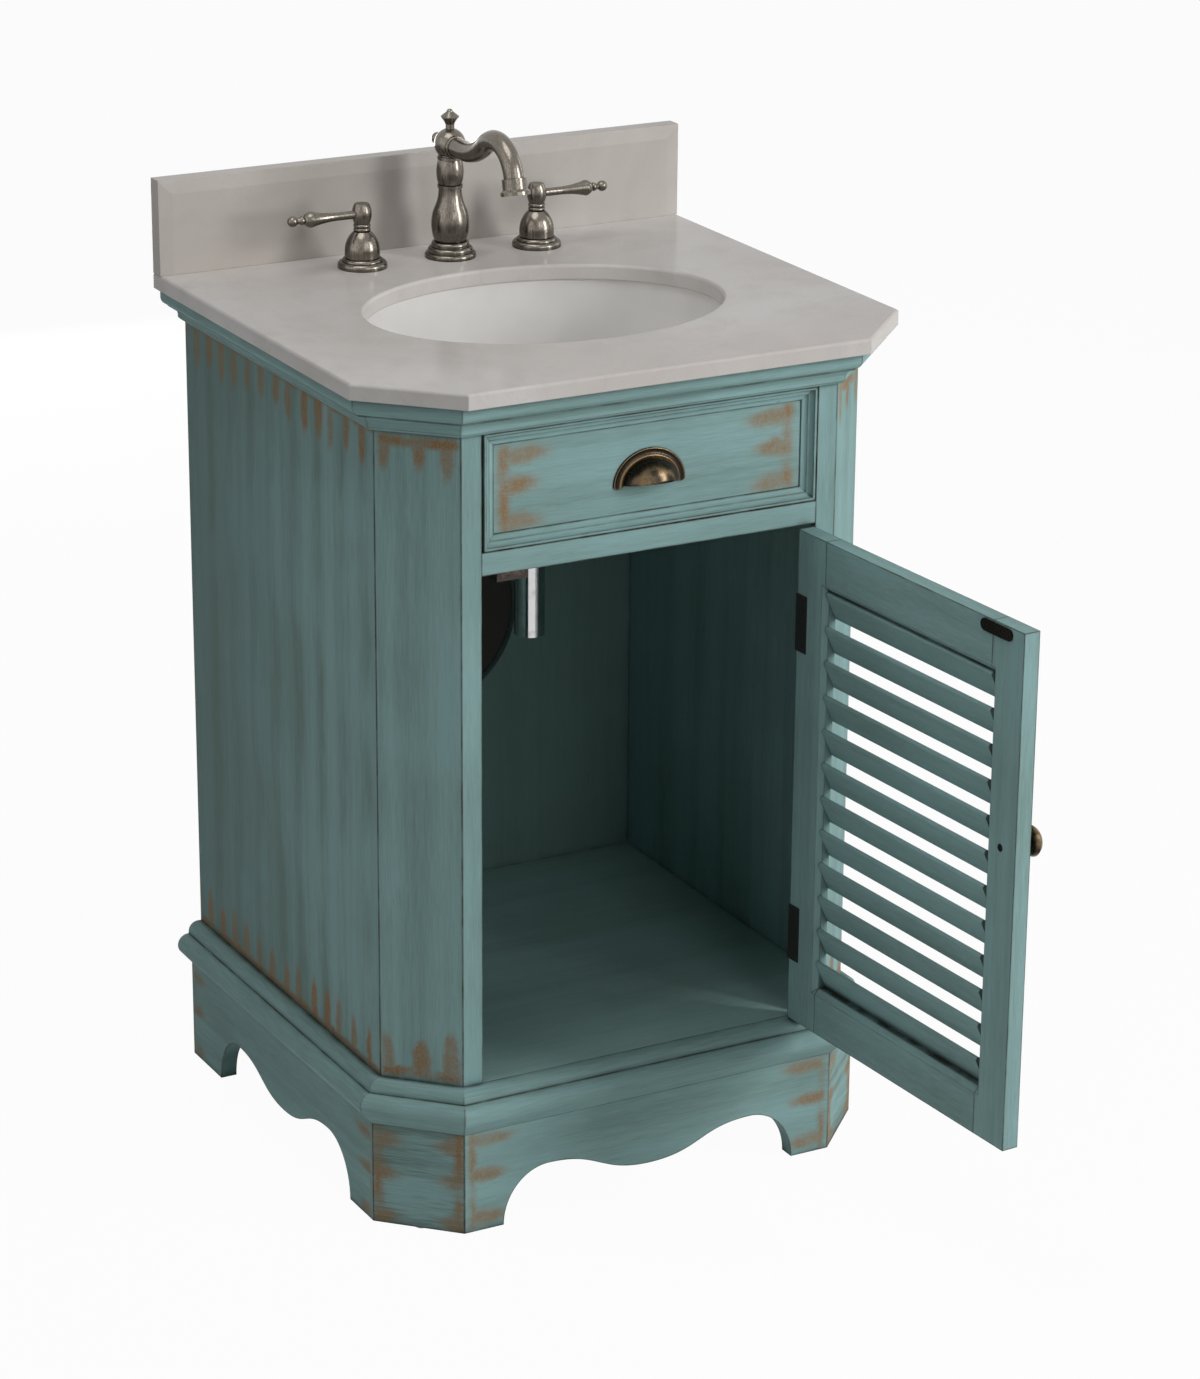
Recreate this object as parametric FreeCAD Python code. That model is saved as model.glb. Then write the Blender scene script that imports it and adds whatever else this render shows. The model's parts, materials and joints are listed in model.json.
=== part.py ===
import FreeCAD, Part
import math
import os

from FreeCAD import Vector

# A floor-standing bathroom vanity: a painted wood cabinet with clipped front corners, a louvered door and a
# false drawer front, under a stone top with an undermounted oval bowl and a three-hole faucet.
# Millimetres. X runs to the right, the wall is the plane y = 0, the front faces -Y and the floor is z = 0.
# The unit stands with its door open at a right angle, its levers pointing outward and its stopper up.

# Stone top and backsplash
counter_thickness = 16
counter_edge_ease = 3
bowl_to_side_edge = 115
bowl_to_front_edge = 121
faucet_to_bowl = 68
faucet_to_wall = 75
side_overhang = 34
front_overhang = 41
corner_overhang = 37.5
backsplash_height = 100
backsplash_thickness = 20
backsplash_bevel_width = 15
backsplash_bevel_depth = 2

# Cabinet boards and the heights of the front, from the floor up
board_thickness = 18
corner_leg = 62
stile_width = 22
skirt_height = 110
base_moulding_height = 47
door_opening_height = 535
mid_rail_height = 23
drawer_opening_height = 119
top_rail_height = 38

# Back of the cabinet
back_panel_thickness = 9
back_panel_inset = 6
plumbing_hole_radius = 108
plumbing_hole_height = 472
wall_rail_height = 84
wall_screw_spacing = 406
wall_screw_hole_radius = 3

# Inner cleats and blocks
cleat_size = 20
front_cleat_width = 38
front_cleat_end_gap = 9
corner_block_size = 40
corner_block_height = 30
catch_block_length = 56
catch_block_depth = 22

# Cornice under the stone, from the top down
cornice_projection = 27
cornice_lip_height = 10
cornice_ogee_depth = 8
cornice_ogee_height = 9
cornice_fillet = 2
cornice_cove_radius = 11
cornice_bead = 3

# Base moulding, from the top down
base_ledge = 4
base_bead_radius = 11
base_fillet = 2
base_step = 1
base_torus_radius = 12
base_torus_end_angle = 42
base_foot_projection = 13

# Skirt boards, feet and glides
skirt_thickness = 18
skirt_projection = 12
skirt_rise = 58
skirt_shoulder = 51.5
skirt_center_drop = 26.5
front_foot_width = 44.5
side_foot_width = 55
rear_foot_width = 74
glide_radius = 7
glide_thickness = 2

# False drawer front
drawer_gap_left = 3
drawer_gap_right = 1
drawer_gap_height = 1
drawer_panel_thickness = 9
drawer_frame_width = 14
drawer_frame_lip = 3
drawer_frame_step = 1
drawer_frame_cove = 4

# Cup pull
cup_width = 80
cup_height = 35
cup_projection = 25
cup_lip_rise = 4
cup_above_middle = 1.5
cup_wall = 2
cup_rim = 9
cup_boss_radius = 4
cup_boss_from_center = 22
cup_boss_height = 8
cup_screw_radius = 1.9
cup_screw_depth = 8
cup_screw_head_radius = 4
cup_screw_head_thickness = 2

# Louvered door
door_gap = 2
door_thickness = 18
door_stile_width = 48
door_top_rail_height = 52
door_bottom_rail_height = 49
door_bevel_width = 6
door_bevel_depth = 5
slat_count = 12
slat_width = 33
slat_thickness = 5.5
slat_slope = 66
slat_end_gap = 0.4
door_open_angle = 93.5

# Hinges
hinge_height = 60
hinge_from_door_end = 97
hinge_barrel_radius = 2.9
hinge_barrel_gap = 0.3
hinge_pin_radius = 1.4
hinge_pin_clearance = 0.05
hinge_tip_radius = 2.5
hinge_knuckle_gap = 0.3
hinge_leaf_gap = 0.3
hinge_wrap_width = 17
hinge_wrap_thickness = 1.2
hinge_screw_radius = 1.6
hinge_screw_head_radius = 3
hinge_screw_head_height = 0.8
hinge_screw_length = 14
hinge_screw_spacing = 36

# Door knob, strike plate and magnetic catch
knob_height = 470
knob_radius = 16
knob_projection = 26
knob_foot_radius = 9
knob_foot_thickness = 2.5
knob_neck_radius = 5.5
knob_head_start = 13
knob_screw_radius = 2
knob_screw_clearance = 0.2
knob_screw_depth = 10
knob_screw_head_radius = 3.6
knob_screw_head_thickness = 2.5
strike_length = 49
strike_height = 12
strike_thickness = 1.5
strike_from_door_edge = 42
strike_from_door_top = 8
catch_length = 34
catch_height = 16
catch_depth = 15
catch_clearance = 0.4
catch_wall = 4
catch_plate_thickness = 1.2
catch_plate_reach = 0.7

# Oval bowl
sink_opening_length = 380
sink_opening_width = 292
bowl_reveal = 3
bowl_depth = 140
bowl_wall = 9
bowl_roundness = 2.6
bowl_floor_level = 0.97
bowl_flange_width = 27
bowl_flange_thickness = 11
drain_shift = 33
sink_clip_width = 20
sink_clip_from_center = 85
sink_clip_pad = 14
sink_clip_reach = 8
sink_clip_thickness = 4
sink_clip_gap = 1

# Drain
drain_hole_clearance = 2.5
drain_tube_radius = 19.5
drain_tube_wall = 3
drain_body_length = 74
drain_flange_radius = 30
drain_flange_thickness = 1.5
drain_throat_radius = 22
drain_throat_depth = 5
gasket_thickness = 8
drain_nut_height = 10
drain_nut_radius = 31
nut_clearance = 0.2
tailpiece_radius = 16
tailpiece_wall = 1.4
tailpiece_length = 133
tailpiece_collar_height = 3
tailpiece_nut_height = 14
tailpiece_nut_radius = 25

# Pop-up stopper and its linkage
pivot_below_bowl = 34
pivot_from_drain = 24
pivot_ball_radius = 7
pivot_rod_radius = 2.5
pivot_rod_past_lift = 15
pivot_rod_past_drain = 6
port_clearance = 0.3
port_wall = 2.7
port_cap_thickness = 4
port_cap_clearance = 2.5
stopper_radius = 20
stopper_thickness = 2
stopper_crown = 2
stopper_lift = 5
stopper_clearance = 0.6
stopper_guide_height = 4
stopper_guide_clearance = 0.3
stopper_guide_depth = 8
stopper_stem_radius = 5
stopper_stem_length = 29
stopper_eye_width = 14
stopper_eye_thickness = 4
stopper_eye_clearance = 1.5
stopper_eye_below = 10
strap_width = 12
strap_thickness = 1.6
strap_hole_clearance = 2
strap_hole_pitch = 16
strap_below_pivot = 20
strap_collar_height = 12
strap_collar_depth = 9
strap_collar_gap = 3

# Faucet spout, heights from the stone up
spout_base_radius = 27
spout_base_height = 17
spout_base_tiers = 3
spout_base_tier_edge = 2.4
spout_base_ledge = 0.8
spout_base_bore = 12.3
spout_vase_foot_radius = 16.5
spout_vase_radius = 20
spout_vase_shoulder_radius = 17.2
spout_vase_height = 57
spout_neck_radius = 12.2
spout_ring_height = 3
spout_ring_reach = 1.1
spout_bulge_radius = 14.4
spout_bulge_height = 27
spout_hub_radius = 16.5
spout_hub_rise = 16
spout_hub_top_radius = 6
spout_arm_radius = 10.5
spout_arm_drop = 1
spout_arm_start = 8
spout_arm_straight = 26
spout_collar_radius = 11.8
spout_collar_end = 16.5
spout_collar_round = 1.2
spout_rise_radius = 77.5
spout_rise_angle = 38
spout_crest_radius = 40
spout_tip_angle = 77
spout_button_radius = 6.5
spout_button_reach = 29
spout_button_neck_radius = 4.5
aerator_radius = 12.6
aerator_length = 17
aerator_lip_radius = 15.4
aerator_lip_height = 6
aerator_lip_flare = 2.4
aerator_bore_radius = 9
aerator_bore_depth = 3

# Lift rod through the spout
lift_rod_radius = 2.5
lift_rod_clearance = 0.5
lift_travel = 32
lift_knob_gap = 0.3
lift_knob_neck_radius = 4.8
lift_knob_neck_height = 5
lift_knob_radius = 9.7
lift_knob_height = 21
lift_knob_widest = 12.5
lift_knob_flare_hollow = 0.4
lift_knob_rim = 0.9
lift_knob_tip_radius = 3.4
lift_knob_tip_height = 2.6

# Valves and handles, heights from the stone up
handle_spacing = 102
handle_flange_radius = 26
handle_flange_height = 10.5
handle_flange_edge = 3.6
handle_step_radius = 21.5
handle_step_height = 7
handle_step_edge = 0.8
handle_groove_depth = 1
handle_groove_height = 0.8
handle_bell_radius = 18.4
handle_bell_straight = 6
handle_bell_swell = 16.4
handle_bell_height = 27.5
handle_neck_radius = 9
handle_gap = 0.3
handle_ring_height = 4
handle_ring_groove = 1
handle_hub_radius = 10.4
handle_hub_height = 21
lever_rise = 10
lever_root_radius = 4.3
lever_bulb_radius = 8.4
lever_bulb_at = 58
lever_waist_radius = 3.6
lever_waist_at = 66
lever_ring_radius = 4.6
lever_ring_at = 70.5
lever_ball_radius = 5.6
lever_ball_at = 78.5
shank_radius = 12
shank_length = 70
shank_bore = 5
valve_stem_radius = 6
valve_stem_clearance = 0.3
valve_stem_above_bell = 9
valve_length = 90
inlet_radius = 10.3
inlet_length = 25
outlet_radius = 8
outlet_length = 34
outlet_above_inlet = 15
faucet_hole_radius = 17.5
locknut_radius = 20
locknut_height = 12

# Levels and planes that follow from the sizes above
skirt_bottom = glide_thickness
skirt_top = skirt_bottom + skirt_height
floor_top = skirt_top + base_moulding_height
floor_bottom = floor_top - board_thickness
mid_rail_bottom = floor_top + door_opening_height
mid_rail_top = mid_rail_bottom + mid_rail_height
top_rail_bottom = mid_rail_top + drawer_opening_height
counter_bottom = top_rail_bottom + top_rail_height
counter_top = counter_bottom + counter_thickness
counter_half = sink_opening_length / 2 + bowl_to_side_edge
faucet_y = -faucet_to_wall
bowl_y = faucet_y - faucet_to_bowl - sink_opening_width / 2
counter_front = bowl_y - sink_opening_width / 2 - bowl_to_front_edge
body_half = counter_half - side_overhang
body_front = counter_front + front_overhang
body_diagonal = body_half - body_front - corner_leg
inner_half = body_half - board_thickness
inner_front = body_front + board_thickness
opening_half = body_half - corner_leg - stile_width
back_panel_front = -back_panel_inset - back_panel_thickness
wall_rail_front = back_panel_front - board_thickness

door_half = opening_half - door_gap
door_bottom = floor_top + door_gap
door_top = mid_rail_bottom - door_gap
door_inner = body_front + door_thickness
louver_half = door_half - door_stile_width
louver_bottom = door_bottom + door_bottom_rail_height
louver_top = door_top - door_top_rail_height
hinge_x = opening_half - door_gap / 2
hinge_y = body_front - hinge_barrel_radius - hinge_barrel_gap
hinge_leaf_thickness = (door_gap - hinge_leaf_gap) / 2
hinge_heights = [door_bottom + hinge_from_door_end, door_top - hinge_from_door_end]
strike_x = -door_half + strike_from_door_edge
strike_z = door_top - strike_from_door_top
knob_x = -door_half + door_stile_width / 2

drawer_left = -opening_half + drawer_gap_left
drawer_right = opening_half - drawer_gap_right
drawer_bottom = mid_rail_top + drawer_gap_height
drawer_top = top_rail_bottom - drawer_gap_height
drawer_panel_front = inner_front - drawer_panel_thickness
pull_x = (drawer_left + drawer_right) / 2
pull_bottom = (drawer_bottom + drawer_top) / 2 + cup_above_middle - cup_height / 2

bowl_floor = counter_bottom - bowl_depth
bowl_bottom = bowl_floor - bowl_wall
drain_y = bowl_y + drain_shift
drain_bottom = bowl_floor - drain_body_length
drain_bore_radius = drain_tube_radius - drain_tube_wall
pivot_y = drain_y + pivot_from_drain
pivot_z = bowl_bottom - pivot_below_bowl
spout_column_top = spout_base_height + spout_vase_height + spout_ring_height + spout_bulge_height
hub_z = counter_top + spout_column_top + spout_hub_rise
hub_top = hub_z + math.sqrt(spout_hub_radius**2 - spout_hub_top_radius**2)
lift_bore_radius = lift_rod_radius + lift_rod_clearance
bell_top = counter_top + handle_flange_height + handle_bell_height
up = Vector(0, 0, 1)
forward = Vector(0, -1, 0)
backward = Vector(0, 1, 0)
outline_runs = ("left side", "left corner", "front", "right corner", "right side")


def box(x0, x1, y0, y1, z0, z1):
    """A block between two corners."""
    return Part.makeBox(x1 - x0, y1 - y0, z1 - z0, Vector(x0, y0, z0))


def section(points, place):
    """A face from an outline: two numbers end a line, four give an arc's middle and its end."""
    edges = []
    start = place(points[0])
    for step in points[1:] + points[:1]:
        end = place(step[-2:])
        if len(step) == 4:
            edges.append(Part.Arc(start, place(step[:2]), end).toNurbs().toShape())
        elif start.distanceToPoint(end) > 0:
            edges.append(Part.LineSegment(start, end).toShape())
        start = end
    return Part.Face(Part.Wire(edges))


def prism(points, z0, z1):
    """An upright block over a plan outline."""
    face = section(points, lambda p: Vector(p[0], p[1], z0))
    return face.extrude(Vector(0, 0, z1 - z0))


def turned(points, x, y, z):
    """A body turned about an upright axis, from radius and height."""
    face = section(points, lambda p: Vector(x + p[0], y, z + p[1]))
    return face.revolve(Vector(x, y, z), up, 360)


def turned_along(points, base, direction):
    """A turned body whose axis runs from a base point in any direction."""
    body = turned(points, 0, 0, 0)
    body.Placement = FreeCAD.Placement(base, FreeCAD.Rotation(up, direction))
    return body


def rounded_to(start, end):
    """The outline step of a convex round from one radius and height in to another."""
    bow = math.sqrt(0.5)
    return (end[0] + (start[0] - end[0]) * bow, start[1] + (end[1] - start[1]) * bow, *end)


def rod(base, direction, length, radius):
    """A plain round bar."""
    return Part.makeCylinder(radius, length, base, direction)


def tube(x, y, z0, z1, outer, inner):
    """An upright ring or pipe."""
    return turned([(inner, 0), (outer, 0), (outer, z1 - z0), (inner, z1 - z0)], x, y, z0)


def hex_nut(x, y, z0, z1, radius, bore):
    """An upright six-sided nut."""
    corners = []
    for side in range(6):
        angle = math.radians(60 * side + 30)
        corners.append((x + radius * math.cos(angle), y + radius * math.sin(angle)))
    return prism(corners, z0, z1).cut(rod(Vector(x, y, z0), up, z1 - z0, bore))


def oval(half_length, half_width, y, z):
    """A level ellipse centred on the middle plane."""
    return Part.Wire([Part.Ellipse(Vector(0, y, z), half_length, half_width).toShape()])


def oval_block(half_length, half_width, y, z0, z1):
    """An upright block with an oval plan."""
    return Part.Face(oval(half_length, half_width, y, z0)).extrude(Vector(0, 0, z1 - z0))


def clipped_outline(half, front, diagonal):
    """Plan corners from the left back round the front to the right back, with both front corners cut."""
    left = [(-half, 0), (-half, half - diagonal), (-front - diagonal, front)]
    right = [(-x, y) for x, y in reversed(left)]
    return left + right


def plan(offset):
    """The cabinet's outline, moved outward by an offset."""
    return clipped_outline(body_half + offset, body_front - offset, body_diagonal + offset * math.sqrt(2))


def run_ends(run, offset):
    """The two plan corners at the ends of one run of the outline, moved outward by an offset."""
    first = outline_runs.index(run)
    return plan(offset)[first:first + 2]


def wall_strip(run, outer, inner, z0, z1):
    """A mitred board along one run of the outline, between two offsets."""
    outside = run_ends(run, outer)
    inside = run_ends(run, inner)
    return prism([outside[0], outside[1], inside[1], inside[0]], z0, z1)


def moulding(run, profile, z0, z1, projection):
    """A mitred moulding along one run of the outline, from a profile of offset and height."""
    start, end = [Vector(x, y, 0) for x, y in run_ends(run, 0)]
    along = (end - start).normalize()
    outward = Vector(along.y, -along.x, 0)
    spare = along * projection
    strip = section(profile, lambda p: start - spare + outward * p[0] + Vector(0, 0, p[1]))
    strip = strip.extrude(end - start + spare * 2)
    return strip.common(wall_strip(run, projection, 0, z0, z1))


def mirrored(shape):
    """The same piece on the other side of the middle plane."""
    return shape.mirror(Vector(0, 0, 0), Vector(1, 0, 0))


def both_sides(shape):
    """A piece and its mirror image."""
    return [shape, mirrored(shape)]


def opened(shape):
    """A door piece, built with the door shut, turned to where the door stands."""
    return shape.rotated(Vector(hinge_x, hinge_y, 0), up, door_open_angle)


def save(name, *solids):
    """Write one node, which may hold several separate solids."""
    shape = solids[0] if len(solids) == 1 else Part.makeCompound(list(solids))
    shape.exportStep(os.path.join("parts", name + ".step"))


def countertop():
    """Stone slab with clipped corners, the bowl's oval and three faucet holes."""
    diagonal = body_diagonal + corner_overhang * math.sqrt(2)
    slab = prism(clipped_outline(counter_half, counter_front, diagonal), counter_bottom, counter_top)
    half_length = sink_opening_length / 2
    half_width = sink_opening_width / 2
    slab = slab.cut(oval_block(half_length, half_width, bowl_y, counter_bottom, counter_top))
    for x in (-handle_spacing, 0, handle_spacing):
        hole = rod(Vector(x, faucet_y, counter_bottom), up, counter_thickness, faucet_hole_radius)
        slab = slab.cut(hole)
    shown = []
    for edge in slab.Edges:
        level = edge.BoundBox
        on_top = level.ZMin > counter_top - counter_edge_ease
        at_faucet = level.YMin > faucet_y - faucet_hole_radius * 1.1
        if on_top and not at_faucet:
            shown.append(edge)
    return slab.makeFillet(counter_edge_ease, shown)


def backsplash():
    """Upright stone strip with a bevelled front along its top and both ends."""
    flat_front = -backsplash_thickness
    bevel_front = flat_front + backsplash_bevel_depth
    bevel_top = backsplash_height - backsplash_bevel_width
    side = [(0, 0), (flat_front, 0), (flat_front, bevel_top)]
    side += [(bevel_front, backsplash_height), (0, backsplash_height)]
    face = section(side, lambda p: Vector(-counter_half, p[0], counter_top + p[1]))
    strip = face.extrude(Vector(2 * counter_half, 0, 0))
    bevel_end = counter_half - backsplash_bevel_width
    left = [(-counter_half, 0), (-counter_half, bevel_front), (-bevel_end, flat_front)]
    outline = left + [(-x, y) for x, y in reversed(left)]
    return strip.common(prism(outline, counter_top, counter_top + backsplash_height))


def front_stile():
    """Left upright of the front frame, from the corner post to the opening."""
    outer = run_ends("front", 0)[0]
    inner = run_ends("front", -board_thickness)[0]
    points = [outer, (-opening_half, body_front), (-opening_half, inner_front), inner]
    return prism(points, skirt_top, counter_bottom)


def front_rail(z0, z1):
    """A level board between the two front stiles."""
    return box(-opening_half, opening_half, body_front, inner_front, z0, z1)


def cabinet_floor():
    """Floor board with a tongue that reaches the front between the stiles."""
    inside = plan(-board_thickness)
    left = [(-inner_half, back_panel_front), inside[1], inside[2]]
    left += [(-opening_half, inner_front), (-opening_half, body_front)]
    right = [(-x, y) for x, y in reversed(left)]
    return prism(left + right, floor_bottom, floor_top)


def wall_screw_holes():
    """Two holes through the wall rail and the back panel."""
    z = counter_bottom - wall_rail_height / 2
    start = Vector(-wall_screw_spacing / 2, wall_rail_front, z)
    hole = rod(start, backward, -wall_rail_front, wall_screw_hole_radius)
    return Part.makeCompound(both_sides(hole))


def back_panel():
    """Thin back with the round cut-out for the plumbing."""
    panel = box(-inner_half, inner_half, back_panel_front, -back_panel_inset, skirt_top, counter_bottom)
    center = Vector(0, back_panel_front, plumbing_hole_height)
    panel = panel.cut(rod(center, backward, back_panel_thickness, plumbing_hole_radius))
    return panel.cut(wall_screw_holes())


def wall_rail():
    """Board inside the back, under the stone, which takes the wall screws."""
    z0 = counter_bottom - wall_rail_height
    rail = box(-inner_half, inner_half, wall_rail_front, back_panel_front, z0, counter_bottom)
    return rail.cut(wall_screw_holes())


def inner_cleats():
    """Glued strips and blocks inside the cabinet."""
    cleat_bottom = floor_bottom - cleat_size
    side_start = run_ends("left corner", -board_thickness)[0][1]
    side_end = -inner_half + cleat_size
    side = box(-inner_half, side_end, side_start, back_panel_front, cleat_bottom, floor_bottom)
    back_start = back_panel_front - cleat_size
    back = box(side_end, -side_end, back_start, back_panel_front, cleat_bottom, floor_bottom)
    front_cleat = box(
        -opening_half - board_thickness / 2, -opening_half - board_thickness / 2 + front_cleat_width,
        inner_front, inner_front + board_thickness,
        drawer_bottom + front_cleat_end_gap, drawer_top - front_cleat_end_gap)
    block_bottom = counter_bottom - corner_block_height
    rear_block = box(
        -inner_half, -inner_half + corner_block_size,
        wall_rail_front - corner_block_size, wall_rail_front, block_bottom, counter_bottom)
    corner_back = -board_thickness - corner_block_size / 2
    front_block = wall_strip("left corner", -board_thickness, corner_back, block_bottom, counter_bottom)
    catch_block = box(
        strike_x - catch_block_length / 2, strike_x + catch_block_length / 2,
        inner_front, inner_front + catch_block_depth, mid_rail_bottom, mid_rail_top)
    pieces = [back, catch_block]
    for piece in (side, front_cleat, rear_block, front_block):
        pieces += both_sides(piece)
    return pieces


def cornice():
    """Stepped crown moulding under the stone, in five mitred lengths."""
    lip = counter_bottom - cornice_lip_height
    ogee_end = cornice_projection - cornice_ogee_depth
    ogee_bottom = lip - cornice_ogee_height
    cove_top = ogee_bottom - cornice_fillet
    cove_end = ogee_end - cornice_cove_radius
    cove_bottom = cove_top - cornice_cove_radius
    bead_top = cove_bottom - cornice_fillet
    bottom = bead_top - cornice_bead
    hollow = cornice_cove_radius * math.sqrt(0.5)
    profile = [
        (0, counter_bottom), (cornice_projection, counter_bottom), (cornice_projection, lip),
        (ogee_end + cornice_ogee_depth * 0.7, ogee_bottom + cornice_ogee_height * 0.3, ogee_end, ogee_bottom),
        (ogee_end, cove_top), (ogee_end - hollow, cove_bottom + hollow, cove_end, cove_bottom),
        (cove_end, bead_top), (cove_end - cornice_bead, bottom), (0, bottom)]
    return [moulding(run, profile, bottom, counter_bottom, cornice_projection) for run in outline_runs]


def base_moulding():
    """Beaded moulding round the foot of the cabinet, in five mitred lengths."""
    bead_end = base_ledge + base_bead_radius
    bead_bottom = floor_top - base_bead_radius
    bead_middle = base_bead_radius * math.sqrt(0.5)
    torus_top = bead_bottom - base_fillet
    torus_x = bead_end + base_step
    torus_z = torus_top - base_torus_radius
    turn = math.radians(base_torus_end_angle)
    projection = torus_x + base_torus_radius
    torus_end = (torus_x + base_torus_radius * math.cos(turn), torus_z - base_torus_radius * math.sin(turn))
    profile = [
        (0, floor_top), (base_ledge, floor_top),
        (base_ledge + bead_middle, bead_bottom + bead_middle, bead_end, bead_bottom),
        (bead_end, torus_top), (torus_x, torus_top), (projection, torus_z) + torus_end,
        (base_foot_projection, skirt_top), (0, skirt_top)]
    return [moulding(run, profile, skirt_top, floor_top, projection) for run in outline_runs]


def scallop(start, end, place, depth):
    """The cut under a skirt board: a rounded shoulder at each foot and a drop in the middle."""
    middle = (start + end) / 2
    shoulder = skirt_shoulder if end > start else -skirt_shoulder
    peak = skirt_bottom + skirt_rise
    drop = peak - skirt_center_drop
    round_share = 0.5523

    def half(foot, inward):
        top = foot + inward
        sway = (middle - top) / 2
        rise = [(foot, skirt_bottom), (foot, skirt_bottom + skirt_rise * round_share),
                (top - inward * round_share, peak), (top, peak)]
        fall = [(top, peak), (top + sway, peak), (middle - sway, drop), (middle, drop)]
        curves = []
        for poles in (rise, fall):
            curve = Part.BezierCurve()
            curve.setPoles([place(p) for p in poles])
            curves.append(curve.toShape())
        return curves

    edges = half(start, shoulder) + half(end, -shoulder)[::-1]
    edges.append(Part.LineSegment(place((end, skirt_bottom)), place((start, skirt_bottom))).toShape())
    return Part.Face(Part.Wire(edges)).extrude(depth)


def skirt(run):
    """One plain skirt board."""
    return wall_strip(run, skirt_projection, skirt_projection - skirt_thickness, skirt_bottom, skirt_top)


def skirt_front():
    """Front skirt with its scalloped lower edge."""
    foot = -run_ends("front", skirt_projection)[0][0] - front_foot_width
    front = body_front - skirt_projection
    cut = scallop(-foot, foot, lambda p: Vector(p[0], front, p[1]), Vector(0, skirt_thickness, 0))
    return skirt("front").cut(cut)


def skirt_side():
    """Left skirt with its scalloped lower edge, from the rear foot to the corner foot."""
    outer_x = -body_half - skirt_projection
    front_end = run_ends("left corner", skirt_projection)[0][1] + side_foot_width
    depth = Vector(skirt_thickness, 0, 0)
    cut = scallop(-rear_foot_width, front_end, lambda p: Vector(outer_x, p[0], p[1]), depth)
    return skirt("left side").cut(cut)


def foot_glides():
    """Round pads under the corner feet and the rear feet."""
    middle = skirt_projection - skirt_thickness / 2
    corner = run_ends("left corner", middle)
    corner_center = Vector((corner[0][0] + corner[1][0]) / 2, (corner[0][1] + corner[1][1]) / 2, 0)
    rear_center = Vector(-body_half - middle, -rear_foot_width / 2, 0)
    pads = []
    for center in (corner_center, rear_center):
        pads += both_sides(rod(center, up, glide_thickness, glide_radius))
    return pads


def drawer_panel():
    """Flat panel of the false drawer front, drilled for the pull's screws."""
    panel = box(drawer_left, drawer_right, drawer_panel_front, inner_front, drawer_bottom, drawer_top)
    return panel.cut(Part.makeCompound(cup_screw_shanks()))


def drawer_frame():
    """Four mitred mouldings on the edge of the false front, stepped down to the panel."""
    depth = drawer_panel_front - body_front
    lip_end = drawer_frame_lip
    cove_end = lip_end + drawer_frame_cove
    shelf = depth - drawer_frame_step - drawer_frame_cove
    second_start = cove_end + drawer_frame_step
    second_drop = shelf - drawer_frame_step
    hollow = drawer_frame_cove * (1 - math.sqrt(0.5))
    second_middle = second_start + (drawer_frame_width - second_start) / 3
    profile = [
        (0, 0), (0, depth), (lip_end, depth), (lip_end, depth - drawer_frame_step),
        (lip_end + hollow, shelf + hollow, cove_end, shelf), (second_start, shelf),
        (second_middle, shelf - second_drop * 0.7, drawer_frame_width, drawer_frame_step),
        (drawer_frame_width, 0)]
    corners = [(drawer_left, drawer_bottom), (drawer_right, drawer_bottom)]
    corners += [(drawer_right, drawer_top), (drawer_left, drawer_top)]
    front = Vector(0, body_front, 0)
    strips = []
    for side in range(4):
        start, end = [Vector(x, 0, z) for x, z in (corners[side], corners[(side + 1) % 4])]
        along = (end - start).normalize()
        inward = Vector(-along.z, 0, along.x)
        face = section(profile, lambda p: start + inward * p[0] + Vector(0, drawer_panel_front - p[1], 0))
        reach = drawer_frame_width
        trapezoid = [start, end, end + (inward - along) * reach, start + (inward + along) * reach]
        shifted = [point + front for point in trapezoid]
        mask = Part.Face(Part.makePolygon(shifted + shifted[:1])).extrude(Vector(0, depth, 0))
        strips.append(face.extrude(end - start).common(mask))
    return strips


def half_dome(half_width, projection, height):
    """The upper front quarter of an ellipsoid on the panel, centred at the foot of the pull."""
    ball = Part.makeSphere(1)
    matrix = FreeCAD.Matrix()
    matrix.scale(half_width, projection, height)
    dome = ball.transformGeometry(matrix)
    dome = dome.common(box(-half_width, half_width, -projection, 0, 0, height))
    return dome.translated(Vector(pull_x, drawer_panel_front, pull_bottom))


def half_oval_plate(half_width, height, thickness):
    """A flat plate with a half oval outline on the panel, straight edge down."""
    wide = max(half_width, height)
    narrow = min(half_width, height)
    center = Vector(pull_x, drawer_panel_front, pull_bottom)
    ellipse = Part.Ellipse(Vector(0, 0, 0), wide, narrow).toShape()
    face = Part.Face(Part.Wire([ellipse]))
    if height > half_width:
        face.rotate(Vector(0, 0, 0), up, 90)
    face.rotate(Vector(0, 0, 0), Vector(1, 0, 0), 90)
    plate = face.translated(center).extrude(Vector(0, -thickness, 0))
    upper = box(pull_x - half_width, pull_x + half_width, center.y - thickness, center.y, pull_bottom,
                pull_bottom + height)
    return plate.common(upper)


def cup_screw_shanks():
    """The two screw shanks of the cup pull, from behind the panel into the bosses."""
    length = drawer_panel_thickness + cup_screw_depth
    shanks = []
    for side in (-1, 1):
        start = Vector(pull_x + side * cup_boss_from_center, inner_front, pull_bottom + cup_boss_height)
        shanks.append(rod(start, forward, length, cup_screw_radius))
    return shanks


def cup_lip_wedge():
    """The space under the pull's lip, which rises from the rim to the front."""
    corners = [(-cup_wall, 0), (-cup_projection, cup_lip_rise), (-cup_projection, 0)]
    start = Vector(pull_x - cup_width / 2, drawer_panel_front, pull_bottom)
    face = section(corners, lambda p: start + Vector(0, p[0], p[1]))
    return face.extrude(Vector(cup_width, 0, 0))


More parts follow.
